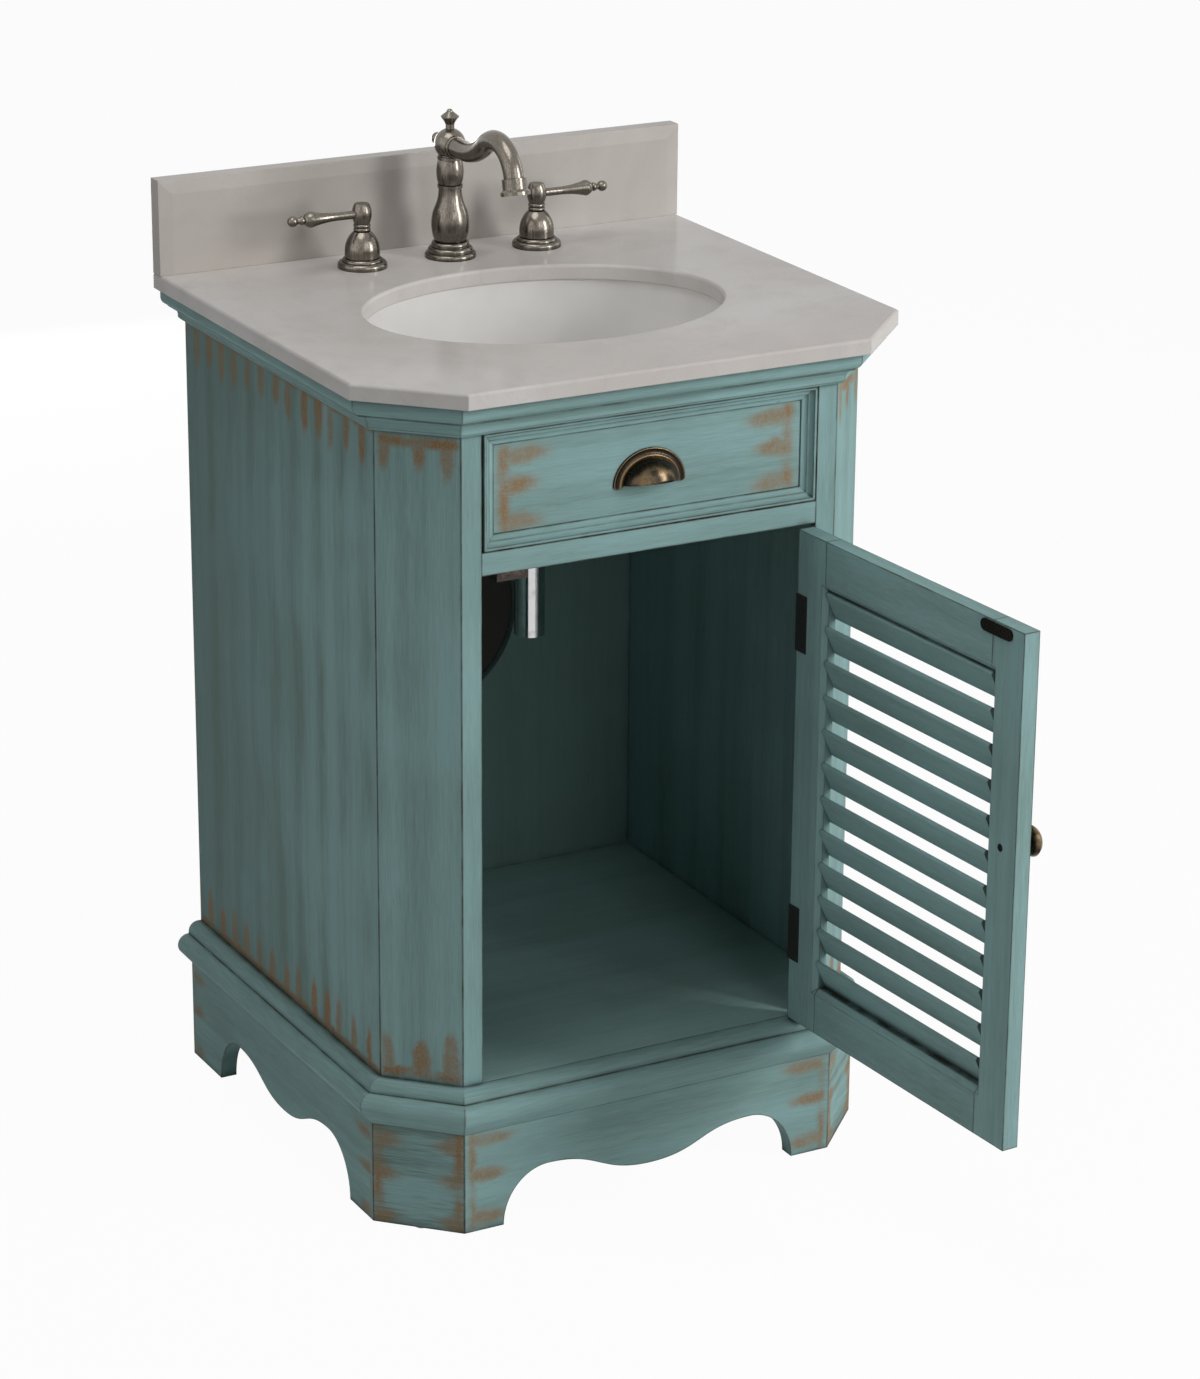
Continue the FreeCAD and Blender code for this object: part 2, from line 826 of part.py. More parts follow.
def cup_pull():
    """Bin pull: a thin half dome, open below, with a flat rim and two screw bosses inside."""
    outer_half = cup_width / 2 - cup_rim
    outer_height = cup_height - cup_rim
    outer = half_dome(outer_half, cup_projection, outer_height)
    inner = half_dome(outer_half - cup_wall, cup_projection - cup_wall, outer_height - cup_wall)
    rim = half_oval_plate(cup_width / 2, cup_height, cup_wall)
    pull = outer.fuse(rim).cut(inner)
    for side in (-1, 1):
        boss_x = pull_x + side * cup_boss_from_center
        start = Vector(boss_x, drawer_panel_front, pull_bottom + cup_boss_height)
        boss = rod(start, forward, cup_projection, cup_boss_radius)
        pull = pull.fuse(boss.common(outer))
    return pull.cut(cup_lip_wedge()).cut(Part.makeCompound(cup_screw_shanks()))


def cup_pull_screws():
    """Two machine screws with flat heads behind the panel."""
    screws = []
    for shank in cup_screw_shanks():
        start = Vector(shank.BoundBox.Center.x, inner_front, shank.BoundBox.Center.z)
        head = rod(start, backward, cup_screw_head_thickness, cup_screw_head_radius)
        screws.append(shank.fuse(head))
    return screws


def louver_bevel():
    """The bevels round the louver opening, on both faces of the door, as one cutting body."""
    def rectangle(grow, y):
        x = louver_half + grow
        z0 = louver_bottom - grow
        z1 = louver_top + grow
        corners = [Vector(-x, y, z0), Vector(x, y, z0), Vector(x, y, z1), Vector(-x, y, z1)]
        return Part.makePolygon(corners + corners[:1])

    bevels = []
    for face_y, inward in ((body_front, 1), (door_inner, -1)):
        wide = rectangle(door_bevel_width, face_y)
        narrow = rectangle(0, face_y + inward * door_bevel_depth)
        bevels.append(Part.makeLoft([wide, narrow], True, True))
    return bevels[0].fuse(bevels[1])


def hinge_leaf_blocks(side, z_middle):
    """One leaf with its barrel knuckles: side -1 is on the door, side 1 on the cabinet."""
    bottom = z_middle - hinge_height / 2
    third = hinge_height / 3
    inner_x = hinge_x + side * hinge_leaf_gap / 2
    outer_x = inner_x + side * hinge_leaf_thickness
    plate_left = min(inner_x, outer_x)
    plate_right = max(inner_x, outer_x)
    plate = box(plate_left, plate_right, hinge_y, door_inner, bottom, bottom + hinge_height)
    outer_knuckles = [(0, third), (2 * third, hinge_height)]
    middle_knuckle = [(third + hinge_knuckle_gap, 2 * third - hinge_knuckle_gap)]
    knuckles = middle_knuckle if side < 0 else outer_knuckles
    others = outer_knuckles if side < 0 else middle_knuckle
    leaf = plate
    for low, high in others:
        clearing = rod(Vector(hinge_x, hinge_y, bottom + low - hinge_knuckle_gap), up,
                       high - low + 2 * hinge_knuckle_gap, hinge_barrel_radius + hinge_barrel_gap)
        leaf = leaf.cut(clearing)
    for low, high in knuckles:
        start = Vector(hinge_x, hinge_y, bottom + low)
        leaf = leaf.fuse(rod(start, up, high - low, hinge_barrel_radius))
    if side < 0:
        wrap = box(door_half - hinge_wrap_width, outer_x - side * hinge_leaf_thickness, door_inner,
                   door_inner + hinge_wrap_thickness, bottom, bottom + hinge_height)
        leaf = leaf.fuse(wrap)
    bore = rod(Vector(hinge_x, hinge_y, bottom), up, hinge_height,
               hinge_pin_radius + hinge_pin_clearance)
    return leaf.cut(bore)


def hinge_frame_leaf(z_middle):
    """Leaf on the edge of the front stile, with the two outer knuckles."""
    return hinge_leaf_blocks(1, z_middle).cut(Part.makeCompound(frame_screws(z_middle)))


def hinge_door_leaf(z_middle):
    """Leaf on the door's edge, wrapped onto its inner face, with the middle knuckle."""
    return hinge_leaf_blocks(-1, z_middle).cut(Part.makeCompound(door_screws(z_middle)))


def hinge_pin(z_middle):
    """Pin through all three knuckles with a round tip at each end."""
    bottom = z_middle - hinge_height / 2
    pin = rod(Vector(hinge_x, hinge_y, bottom), up, hinge_height, hinge_pin_radius)
    top_tip = Part.makeSphere(hinge_tip_radius, Vector(hinge_x, hinge_y, bottom + hinge_height))
    low_tip = Part.makeSphere(hinge_tip_radius, Vector(hinge_x, hinge_y, bottom))
    barrel = rod(Vector(hinge_x, hinge_y, bottom), up, hinge_height, hinge_barrel_radius)
    return pin.fuse(top_tip.fuse(low_tip).cut(barrel))


def wood_screw(head, direction):
    """A small countersunk screw, flush with the face at its head."""
    root = [(0, 0), (hinge_screw_head_radius, 0), (hinge_screw_radius, hinge_screw_head_height)]
    shank = [(hinge_screw_radius, hinge_screw_length), (0, hinge_screw_length)]
    return turned_along(root + shank, head, direction)


def hinge_screw_heights(z_middle):
    """Where the two screws of a leaf sit."""
    return [z_middle - hinge_screw_spacing / 2, z_middle + hinge_screw_spacing / 2]


def frame_screws(z_middle):
    """Screws through the frame leaf into the stile."""
    x = hinge_x + hinge_leaf_gap / 2
    y = body_front + board_thickness / 2
    return [wood_screw(Vector(x, y, z), Vector(1, 0, 0)) for z in hinge_screw_heights(z_middle)]


def door_screws(z_middle):
    """Screws through the wrapped face of the door leaf into the door stile."""
    x = door_half - hinge_wrap_width / 2
    y = door_inner + hinge_wrap_thickness
    return [wood_screw(Vector(x, y, z), forward) for z in hinge_screw_heights(z_middle)]


def knob_screw():
    """Screw from the inner face of the lock stile into the knob."""
    head_top = Vector(knob_x, door_inner, knob_height)
    head = rod(head_top, forward, knob_screw_head_thickness, knob_screw_head_radius)
    return head.fuse(rod(head_top, forward, door_thickness + knob_screw_depth, knob_screw_radius))


def knob_screw_hole():
    """Drilling and counterbore for the knob's screw."""
    head_top = Vector(knob_x, door_inner, knob_height)
    wide = knob_screw_head_radius + knob_screw_clearance
    head = rod(head_top, forward, knob_screw_head_thickness, wide)
    return head.fuse(rod(head_top, forward, door_thickness, knob_screw_radius + knob_screw_clearance))


def door_stile(side):
    """Upright of the door, side -1 at the lock and 1 at the hinges."""
    edge = side * door_half
    inner = side * louver_half
    stile = box(min(edge, inner), max(edge, inner), body_front, door_inner, door_bottom, door_top)
    return stile.cut(louver_bevel())


def door_rail(z0, z1):
    """Level board of the door between its stiles."""
    return box(-louver_half, louver_half, body_front, door_inner, z0, z1).cut(louver_bevel())


def door_slats():
    """Louver slats with round edges, sloping down to the outside. The end slats lie close to the rails."""
    slope = math.radians(slat_slope)
    run = Vector(0, -math.cos(slope), -math.sin(slope))
    thick = Vector(0, -math.sin(slope), math.cos(slope))
    half_run = (slat_width - slat_thickness) / 2
    half_thick = slat_thickness / 2
    round_end = half_run + half_thick
    lowest = louver_bottom + slat_end_gap + half_run * math.sin(slope) + half_thick
    pitch = (louver_top + louver_bottom - 2 * lowest) / (slat_count - 1)
    outline = [(-half_run, -half_thick), (half_run, -half_thick), (round_end, 0, half_run, half_thick),
               (-half_run, half_thick), (-round_end, 0, -half_run, -half_thick)]
    middle_y = (body_front + door_inner) / 2
    slats = []
    for index in range(slat_count):
        center = Vector(-louver_half, middle_y, lowest + pitch * index)
        face = section(outline, lambda p: center + run * p[0] + thick * p[1])
        slats.append(face.extrude(Vector(2 * louver_half, 0, 0)))
    return slats


def strike_plate():
    """Thin steel plate with round ends on the door's inner face, opposite the catch."""
    half = (strike_length - strike_height) / 2
    radius = strike_height / 2
    outline = [(-half, -radius), (half, -radius), (half + radius, 0, half, radius), (-half, radius),
               (-half - radius, 0, -half, -radius)]
    face = section(outline, lambda p: Vector(strike_x + p[0], door_inner, strike_z + p[1]))
    return face.extrude(Vector(0, strike_thickness, 0))


def door_knob():
    """Round knob on a short neck, drilled for its screw."""
    head = knob_projection - knob_head_start
    profile = [
        (knob_screw_radius, 0), (knob_foot_radius, 0), (knob_foot_radius, knob_foot_thickness),
        (knob_neck_radius, 2 * knob_foot_thickness), (knob_neck_radius, knob_head_start),
        (knob_radius * 0.9, knob_head_start + head * 0.16, knob_radius, knob_head_start + head * 0.45),
        (knob_radius * 0.7, knob_projection - head * 0.13, 0, knob_projection),
        (0, knob_screw_depth), (knob_screw_radius, knob_screw_depth)]
    return turned_along(profile, Vector(knob_x, body_front, knob_height), forward)


def catch_front():
    """The plane where the magnet's plates end, just short of the shut door's strike plate."""
    return door_inner + strike_thickness + catch_clearance


def catch_housing():
    """Catch body under its block, open at the front round the magnet."""
    front = catch_front() + catch_plate_reach
    top = mid_rail_bottom
    body = box(strike_x - catch_length / 2, strike_x + catch_length / 2, front, front + catch_depth,
               top - catch_height, top)
    return body.cut(catch_pocket())


def catch_pocket():
    """Space for the magnet in the catch body."""
    front = catch_front() + catch_plate_reach
    half = catch_length / 2 - catch_wall
    return box(strike_x - half, strike_x + half, front, front + catch_depth - catch_wall,
               mid_rail_bottom - catch_height + catch_wall, mid_rail_bottom - catch_wall)


def catch_magnet():
    """Magnet between two steel plates that reach out of the housing."""
    space = catch_pocket().BoundBox
    plates = []
    for z0 in (space.ZMin, space.ZMax - catch_plate_thickness):
        plates.append(box(space.XMin, space.XMax, catch_front(), space.YMax, z0, z0 + catch_plate_thickness))
    magnet = box(space.XMin, space.XMax, space.YMin, space.YMax, space.ZMin + catch_plate_thickness,
                 space.ZMax - catch_plate_thickness)
    return plates + [magnet]


def bowl_level(share, grow):
    """Half sizes, middle and height of the bowl's inside at a share of its depth."""
    narrowing = (1 - (share * bowl_floor_level) ** bowl_roundness) ** (1 / bowl_roundness)
    half_length = (sink_opening_length / 2 + bowl_reveal) * narrowing + grow
    half_width = (sink_opening_width / 2 + bowl_reveal) * narrowing + grow
    return half_length, half_width, bowl_y + drain_shift * share**2, counter_bottom - bowl_depth * share


def sink_bowl():
    """Oval china bowl with a flat flange glued under the stone and a hole at its lowest place."""
    shares = [0, 0.2, 0.4, 0.6, 0.76, 0.88, 0.96, 1]
    inside = Part.makeLoft([oval(*bowl_level(share, 0)) for share in shares], True)
    outer_levels = [bowl_level(share, bowl_wall) for share in shares]
    half_length, half_width, y, z = bowl_level(1, 0)
    outer_levels.append((half_length, half_width, y, z - bowl_wall))
    outside = Part.makeLoft([oval(*level) for level in outer_levels], True)
    half_length, half_width, y, z = bowl_level(0, bowl_flange_width)
    flange = oval_block(half_length, half_width, y, counter_bottom - bowl_flange_thickness, counter_bottom)
    hole_radius = drain_tube_radius + drain_hole_clearance
    hole = rod(Vector(0, drain_y, bowl_bottom), up, bowl_wall, hole_radius)
    return outside.fuse(flange).cut(inside).cut(hole)


def sink_clips():
    """Bent clips that hold the bowl's flange up against the stone, two behind and two in front."""
    half_length, half_width, y, z = bowl_level(0, bowl_flange_width)
    flange_bottom = counter_bottom - bowl_flange_thickness
    nearest = sink_clip_from_center - sink_clip_width / 2
    edge = half_width * math.sqrt(1 - (nearest / half_length) ** 2) + sink_clip_gap
    x0 = -sink_clip_from_center - sink_clip_width / 2
    x1 = x0 + sink_clip_width
    clips = []
    for way in (-1, 1):
        pad_start = bowl_y + way * edge
        pad_end = pad_start + way * sink_clip_pad
        tongue_end = pad_start - way * (sink_clip_reach + sink_clip_width / 2)
        pad = box(x0, x1, min(pad_start, pad_end), max(pad_start, pad_end),
                  flange_bottom - sink_clip_thickness, counter_bottom)
        tongue = box(x0, x1, min(pad_end, tongue_end), max(pad_end, tongue_end),
                     flange_bottom - sink_clip_thickness, flange_bottom)
        clips += both_sides(pad.fuse(tongue))
    return clips


def drain_flange():
    """Drain body: a flange in the bowl, a tube below and the side port of the pivot ball."""
    top = drain_flange_thickness
    profile = [
        (drain_bore_radius, -drain_body_length), (drain_tube_radius, -drain_body_length),
        (drain_tube_radius, 0), (drain_flange_radius, 0), (drain_flange_radius, top / 2),
        (drain_throat_radius, top),
        (drain_bore_radius, top - drain_throat_depth)]
    body = turned(profile, 0, drain_y, bowl_floor)
    cavity = pivot_ball_radius + port_clearance
    port_end = pivot_from_drain + cavity + port_cap_thickness
    center = Vector(0, drain_y, pivot_z)
    body = body.fuse(rod(center, backward, port_end, cavity + port_wall))
    body = body.cut(rod(center, backward, port_end - port_cap_thickness, cavity))
    opening = pivot_rod_radius + port_cap_clearance
    body = body.cut(rod(center, backward, port_end, opening))
    throat_height = drain_body_length - drain_throat_depth
    return body.cut(rod(Vector(0, drain_y, drain_bottom), up, throat_height, drain_bore_radius))


def tailpiece():
    """Thin drain pipe with a collar that seats on the drain body."""
    pipe = tube(0, drain_y, drain_bottom - tailpiece_length, drain_bottom, tailpiece_radius,
                tailpiece_radius - tailpiece_wall)
    collar = tube(0, drain_y, drain_bottom - tailpiece_collar_height, drain_bottom, drain_tube_radius,
                  tailpiece_radius - tailpiece_wall)
    return pipe.fuse(collar)


def tailpiece_nut():
    """Slip nut round the tailpiece's collar and the end of the drain body."""
    bottom = drain_bottom - tailpiece_collar_height
    bore = drain_tube_radius + nut_clearance
    return hex_nut(0, drain_y, bottom, bottom + tailpiece_nut_height, tailpiece_nut_radius, bore)


def stopper():
    """Pop-up stopper: a crowned cap, a guide ring that runs in the drain and a stem with an eye."""
    cap_bottom = bowl_floor + drain_flange_thickness + stopper_clearance + stopper_lift
    guide = drain_bore_radius - stopper_guide_clearance
    guide_top = -(cap_bottom - bowl_floor) - stopper_guide_depth
    crown_middle = stopper_thickness + stopper_crown * 0.7
    crown_top = stopper_thickness + stopper_crown
    profile = [
        (0, -stopper_stem_length), (stopper_stem_radius, -stopper_stem_length),
        (stopper_stem_radius, guide_top - stopper_guide_height), (guide, guide_top - stopper_guide_height),
        (guide, guide_top), (stopper_stem_radius, guide_top), (stopper_stem_radius, 0), (stopper_radius, 0),
        (stopper_radius, stopper_thickness), (stopper_radius * 0.55, crown_middle, 0, crown_top)]
    body = turned(profile, 0, drain_y, cap_bottom)
    eye_top = cap_bottom - stopper_stem_length
    eye = box(-stopper_eye_width / 2, stopper_eye_width / 2, drain_y - stopper_eye_thickness / 2,
              drain_y + stopper_eye_thickness / 2, pivot_z - stopper_eye_below, eye_top)
    start = Vector(0, drain_y - stopper_eye_thickness, pivot_z)
    hole = rod(start, backward, 2 * stopper_eye_thickness, pivot_rod_radius + stopper_eye_clearance)
    return body.fuse(eye.cut(hole))


def pivot_rod():
    """Level rod through the ball in the drain's side port, from the stopper's eye to the lift strap."""
    start = Vector(0, drain_y - pivot_rod_past_drain, pivot_z)
    length = faucet_y + pivot_rod_past_lift - start.y
    bar = rod(start, backward, length, pivot_rod_radius)
    return bar.fuse(Part.makeSphere(pivot_ball_radius, Vector(0, pivot_y, pivot_z)))


def lift_rod():
    """Lift rod with its knob on top of the spout, and the flat strap clamped to its foot."""
    knob_bottom = hub_top + lift_knob_gap
    collar_top = counter_top - shank_length - lift_travel - strap_collar_gap
    collar_bottom = collar_top - strap_collar_height
    flare_radius = (lift_knob_neck_radius + lift_knob_radius) / 2 - lift_knob_flare_hollow
    flare_height = (lift_knob_neck_height + lift_knob_widest) / 2 + lift_knob_flare_hollow
    tip_start = lift_knob_height - lift_knob_tip_height
    tip_round = math.sqrt(0.5)
    knob_profile = [
        (0, 0), (lift_knob_neck_radius, 0), (lift_knob_neck_radius, lift_knob_neck_height),
        (flare_radius, flare_height, lift_knob_radius, lift_knob_widest),
        (lift_knob_radius, lift_knob_widest + lift_knob_rim), (lift_knob_tip_radius, tip_start),
        (lift_knob_tip_radius * tip_round, tip_start + lift_knob_tip_height * tip_round, 0, lift_knob_height)]
    knob = turned(knob_profile, 0, faucet_y, knob_bottom)
    bar = rod(Vector(0, faucet_y, collar_bottom), up, knob_bottom - collar_bottom, lift_rod_radius)
    strap_back = faucet_y + strap_collar_depth / 2
    collar = box(-strap_width / 2, strap_width / 2, faucet_y - strap_collar_depth / 2, strap_back,
                 collar_bottom, collar_top)
    collar = collar.cut(bar)
    strap = box(-strap_width / 2, strap_width / 2, strap_back - strap_thickness, strap_back,
                pivot_z - strap_below_pivot, collar_bottom)
    hole_count = int((collar_bottom - pivot_z) / strap_hole_pitch)
    for index in range(hole_count):
        start = Vector(0, strap_back, pivot_z + strap_hole_pitch * index)
        hole = rod(start, forward, strap_thickness, pivot_rod_radius + strap_hole_clearance)
        strap = strap.cut(hole)
    return [bar.fuse(knob), strap.fuse(collar).removeSplitter()]


def spout_base():
    """Foot of the spout on the stone, in rounded tiers."""
    tread = (spout_base_radius - spout_vase_foot_radius) / spout_base_tiers
    rise = spout_base_height / spout_base_tiers
    profile = [(spout_base_bore, 0)]
    for tier in range(spout_base_tiers):
        radius = spout_base_radius - tread * tier
        edge = (radius, rise * tier + spout_base_tier_edge)
        ledge = (radius - tread + spout_base_ledge, rise * (tier + 1))
        profile += [(radius, rise * tier), edge, rounded_to(edge, ledge)]
    profile += [(spout_vase_foot_radius, spout_base_height), (spout_base_bore, spout_base_height)]
    return turned(profile, 0, faucet_y, counter_top)


def spout_tip():
    """Point and heading where the spout's tube ends, with the direction of the water."""
    rise = math.radians(spout_rise_angle)
    tip = math.radians(spout_tip_angle)
    distance = spout_arm_start + spout_arm_straight + spout_rise_radius * math.sin(rise)
    height = spout_rise_radius * (1 - math.cos(rise))
    distance += spout_crest_radius * (math.sin(rise) + math.sin(tip))
    height += spout_crest_radius * (math.cos(tip) - math.cos(rise))
    heading = Vector(0, -math.cos(tip), -math.sin(tip))
    return Vector(0, faucet_y - distance, hub_z - spout_arm_drop + height), heading


def spout_arm():
    """Swan-neck tube: level, then a slow rise, then a crest that turns down to the tip."""
    rise = math.radians(spout_rise_angle)
    axis_z = hub_z - spout_arm_drop

    def at(distance, height):
        return Vector(0, faucet_y - distance, axis_z + height)

    bend = spout_arm_start + spout_arm_straight
    rise_end = (bend + spout_rise_radius * math.sin(rise), spout_rise_radius * (1 - math.cos(rise)))
    rise_middle = (bend + spout_rise_radius * math.sin(rise / 2),
                   spout_rise_radius * (1 - math.cos(rise / 2)))
    crest = (rise_end[0] + spout_crest_radius * math.sin(rise),
             rise_end[1] + spout_crest_radius * (1 - math.cos(rise)))
    path = Part.Wire([
        Part.LineSegment(at(spout_arm_start, 0), at(bend, 0)).toShape(),
        Part.Arc(at(bend, 0), at(*rise_middle), at(*rise_end)).toShape(),
        Part.Arc(at(*rise_end), at(*crest), spout_tip()[0]).toShape()])
    ring = Part.Wire([Part.Circle(at(spout_arm_start, 0), backward, spout_arm_radius).toShape()])
    return path.makePipeShell([ring], True, False)


def spout_collar():
    """Ring round the root of the spout's arm."""
    length = spout_collar_end - spout_arm_start
    edge = (spout_collar_radius, length - spout_collar_round)
    end = (spout_collar_radius - spout_collar_round, length)
    profile = [(0, 0), (spout_collar_radius, 0), edge, rounded_to(edge, end), (0, length)]
    return turned_along(profile, Vector(0, faucet_y - spout_arm_start, hub_z - spout_arm_drop), forward)


def spout():
    """Turned column with a round hub, the swan-neck arm in front and a small button behind."""
    ring_bottom = spout_base_height + spout_vase_height
    bulge_bottom = ring_bottom + spout_ring_height
    ring_radius = spout_neck_radius + spout_ring_reach
    hub_low = math.sqrt(spout_hub_radius**2 - spout_neck_radius**2)
    hub_middle = spout_column_top + spout_hub_rise
    profile = [
        (lift_bore_radius, spout_base_height), (spout_vase_foot_radius, spout_base_height),
        (spout_vase_radius, spout_base_height + spout_vase_height * 0.28,
         spout_vase_shoulder_radius, spout_base_height + spout_vase_height * 0.6),
        (spout_neck_radius + spout_ring_reach * 0.6, spout_base_height + spout_vase_height * 0.83,
         spout_neck_radius, ring_bottom),
        (ring_radius, ring_bottom), (ring_radius, bulge_bottom), (spout_neck_radius, bulge_bottom),
        (spout_bulge_radius, bulge_bottom + spout_bulge_height / 2, spout_neck_radius, spout_column_top),
        (ring_radius, spout_column_top), (ring_radius, spout_column_top + spout_ring_height),
        (spout_neck_radius, spout_column_top + spout_ring_height), (spout_neck_radius, hub_middle - hub_low),
        (spout_hub_radius, hub_middle, spout_hub_top_radius, hub_top - counter_top),
        (lift_bore_radius, hub_top - counter_top)]
    column = turned(profile, 0, faucet_y, counter_top)
    button_neck = rod(Vector(0, faucet_y + spout_arm_start, hub_z), backward,
                      spout_button_reach - spout_arm_start, spout_button_neck_radius)
    button = Part.makeSphere(spout_button_radius, Vector(0, faucet_y + spout_button_reach, hub_z))
    body = column.fuse(spout_arm()).fuse(spout_collar()).fuse(button_neck).fuse(button)
    bore_length = hub_top - counter_top
    return body.cut(rod(Vector(0, faucet_y, counter_top), up, bore_length, lift_bore_radius))


def aerator():
    """Sleeve with a flared lip on the end of the spout."""
    lip_start = aerator_length - aerator_lip_height
    profile = [
        (0, 0), (aerator_radius, 0), (aerator_radius, lip_start),
        (aerator_lip_radius, lip_start + aerator_lip_flare),
        (aerator_lip_radius, aerator_length), (aerator_bore_radius, aerator_length),
        (aerator_bore_radius, aerator_length - aerator_bore_depth), (0, aerator_length - aerator_bore_depth)]
    point, heading = spout_tip()
    return turned_along(profile, point, heading)


def valve(side):
    """Valve under one handle: threaded shank, stem above, inlet below and a side outlet to the spout."""
    x = side * handle_spacing
    bottom = counter_top - valve_length
    body = rod(Vector(x, faucet_y, bottom), up, valve_length, shank_radius)
    stem_length = handle_flange_height + handle_bell_height + valve_stem_above_bell
    body = body.fuse(rod(Vector(x, faucet_y, counter_top), up, stem_length, valve_stem_radius))
    body = body.fuse(rod(Vector(x, faucet_y, bottom), Vector(0, 0, -1), inlet_length, inlet_radius))
    outlet_start = Vector(x, faucet_y, bottom + outlet_above_inlet)
    return body.fuse(rod(outlet_start, Vector(-side, 0, 0), outlet_length, outlet_radius))


def faucet_shanks():
    """The spout's hollow shank and the two valves."""
    column_foot = counter_top + spout_base_height
    spout_shank = tube(0, faucet_y, counter_top - shank_length, column_foot, shank_radius, shank_bore)
    return [spout_shank, valve(-1), valve(1)]


def faucet_locknuts():
    """Nuts that draw the faucet down on the stone from below."""
    nuts = []
    for x in (-handle_spacing, 0, handle_spacing):
        nuts.append(hex_nut(x, faucet_y, counter_bottom - locknut_height, counter_bottom, locknut_radius,
                            shank_radius + nut_clearance))
    return nuts


def handle_base():
    """Left bell-shaped foot of a handle, round the valve stem."""
    bore = valve_stem_radius + valve_stem_clearance
    groove_radius = handle_bell_radius - handle_groove_depth
    groove_top = handle_flange_height + handle_groove_height
    dome = groove_top + handle_bell_straight
    neck = handle_flange_height + handle_bell_height
    flange_edge = (handle_flange_radius, handle_flange_edge)
    step_edge = (handle_step_radius, handle_step_height + handle_step_edge)
    profile = [
        (bore, 0), (handle_flange_radius, 0), flange_edge,
        rounded_to(flange_edge, (handle_step_radius, handle_step_height)), step_edge,
        rounded_to(step_edge, (groove_radius, handle_flange_height)), (groove_radius, groove_top),
        (handle_bell_radius, groove_top), (handle_bell_radius, dome),
        (handle_bell_swell, (dome + neck) / 2, handle_neck_radius, neck), (bore, neck)]
    return turned(profile, -handle_spacing, faucet_y, counter_top)


def lever():
    """Left handle: two rings, a round hub with a flat cap and a turned lever that points outward."""
    bore = valve_stem_radius + valve_stem_clearance
    rings = 2 * handle_ring_height
    groove_radius = handle_neck_radius - handle_ring_groove
    socket = valve_stem_above_bell
    hub_middle = rings + handle_hub_height / 2
    cap_radius = handle_hub_radius * 0.72
    cap = rings + handle_hub_height
    profile = [
        (bore, 0), (groove_radius, 0),
        (handle_neck_radius, handle_ring_height / 2, groove_radius, handle_ring_height),
        (handle_neck_radius, handle_ring_height * 1.5, groove_radius, rings),
        (handle_hub_radius, hub_middle, cap_radius, cap), (0, cap), (0, socket), (bore, socket)]
    hub_bottom = bell_top + handle_gap
    hub = turned(profile, -handle_spacing, faucet_y, hub_bottom)
    root = handle_hub_radius / 2
    bulb_end = lever_bulb_at + (lever_waist_at - lever_bulb_at) * 0.6
    arm_profile = [
        (0, root), (lever_root_radius, root), (lever_root_radius, lever_bulb_at / 2),
        (lever_bulb_radius * 0.72, lever_bulb_at * 0.82, lever_bulb_radius, lever_bulb_at),
        (lever_bulb_radius * 0.8, bulb_end, lever_waist_radius, lever_waist_at),
        (lever_ring_radius, (lever_waist_at + lever_ring_at) / 2, lever_waist_radius, lever_ring_at),
        (lever_waist_radius * 0.8, lever_ring_at + (lever_ball_at - lever_ring_at) * 0.4),
        (lever_ball_radius, lever_ball_at, 0, lever_ball_at + lever_ball_radius)]
    arm_base = Vector(-handle_spacing, faucet_y, hub_bottom + rings + lever_rise)
    return hub.fuse(turned_along(arm_profile, arm_base, Vector(-1, 0, 0)))


os.makedirs("parts", exist_ok=True)

# Cabinet
side_panel = wall_strip("left side", 0, -board_thickness, skirt_top, counter_bottom)
corner_post = wall_strip("left corner", 0, -board_thickness, skirt_top, counter_bottom)
save("side_panel_left", side_panel)
save("side_panel_right", mirrored(side_panel))
save("corner_post_left", corner_post)
save("corner_post_right", mirrored(corner_post))
save("front_stile_left", front_stile())
stile_screws = [screw for z in hinge_heights for screw in frame_screws(z)]
save("front_stile_right", mirrored(front_stile()).cut(Part.makeCompound(stile_screws)))
save("front_top_rail", front_rail(top_rail_bottom, counter_bottom))
save("front_mid_rail", front_rail(mid_rail_bottom, mid_rail_top))
save("front_bottom_rail", front_rail(skirt_top, floor_bottom))
save("cabinet_floor", cabinet_floor())
save("back_panel", back_panel())
save("wall_rail", wall_rail())
save("inner_cleats", *inner_cleats())
save("cornice", *cornice())
save("base_moulding", *base_moulding())
save("skirt_front", skirt_front())
save("skirt_sides", *both_sides(skirt_side()))
save("corner_feet", *both_sides(skirt("left corner")))
save("foot_glides", *foot_glides())

# False drawer front
save("drawer_panel", drawer_panel())
save("drawer_frame", *drawer_frame())
save("cup_pull", cup_pull())
save("cup_pull_screws", *cup_pull_screws())

# Stone, bowl and drain
save("countertop", countertop())
save("backsplash", backsplash())
save("sink_bowl", sink_bowl())
save("sink_clips", *sink_clips())
save("drain_flange", drain_flange())
save("drain_gasket", tube(0, drain_y, bowl_bottom - gasket_thickness, bowl_bottom, drain_flange_radius,
                          drain_tube_radius + nut_clearance))
nut_top = bowl_bottom - gasket_thickness
save("drain_locknut", hex_nut(0, drain_y, nut_top - drain_nut_height, nut_top, drain_nut_radius,
                              drain_tube_radius + nut_clearance))
save("tailpiece", tailpiece())
save("tailpiece_nut", tailpiece_nut())

# Faucet and pop-up linkage
save("spout", spout())
save("spout_base", spout_base())
save("aerator", aerator())
save("faucet_shanks", *faucet_shanks())
save("faucet_locknuts", *faucet_locknuts())
save("handle_bases", *both_sides(handle_base()))
save("lever_left", lever())
save("lever_right", mirrored(lever()))
save("lift_rod", *lift_rod())
save("pivot_rod", pivot_rod())
save("stopper", stopper())

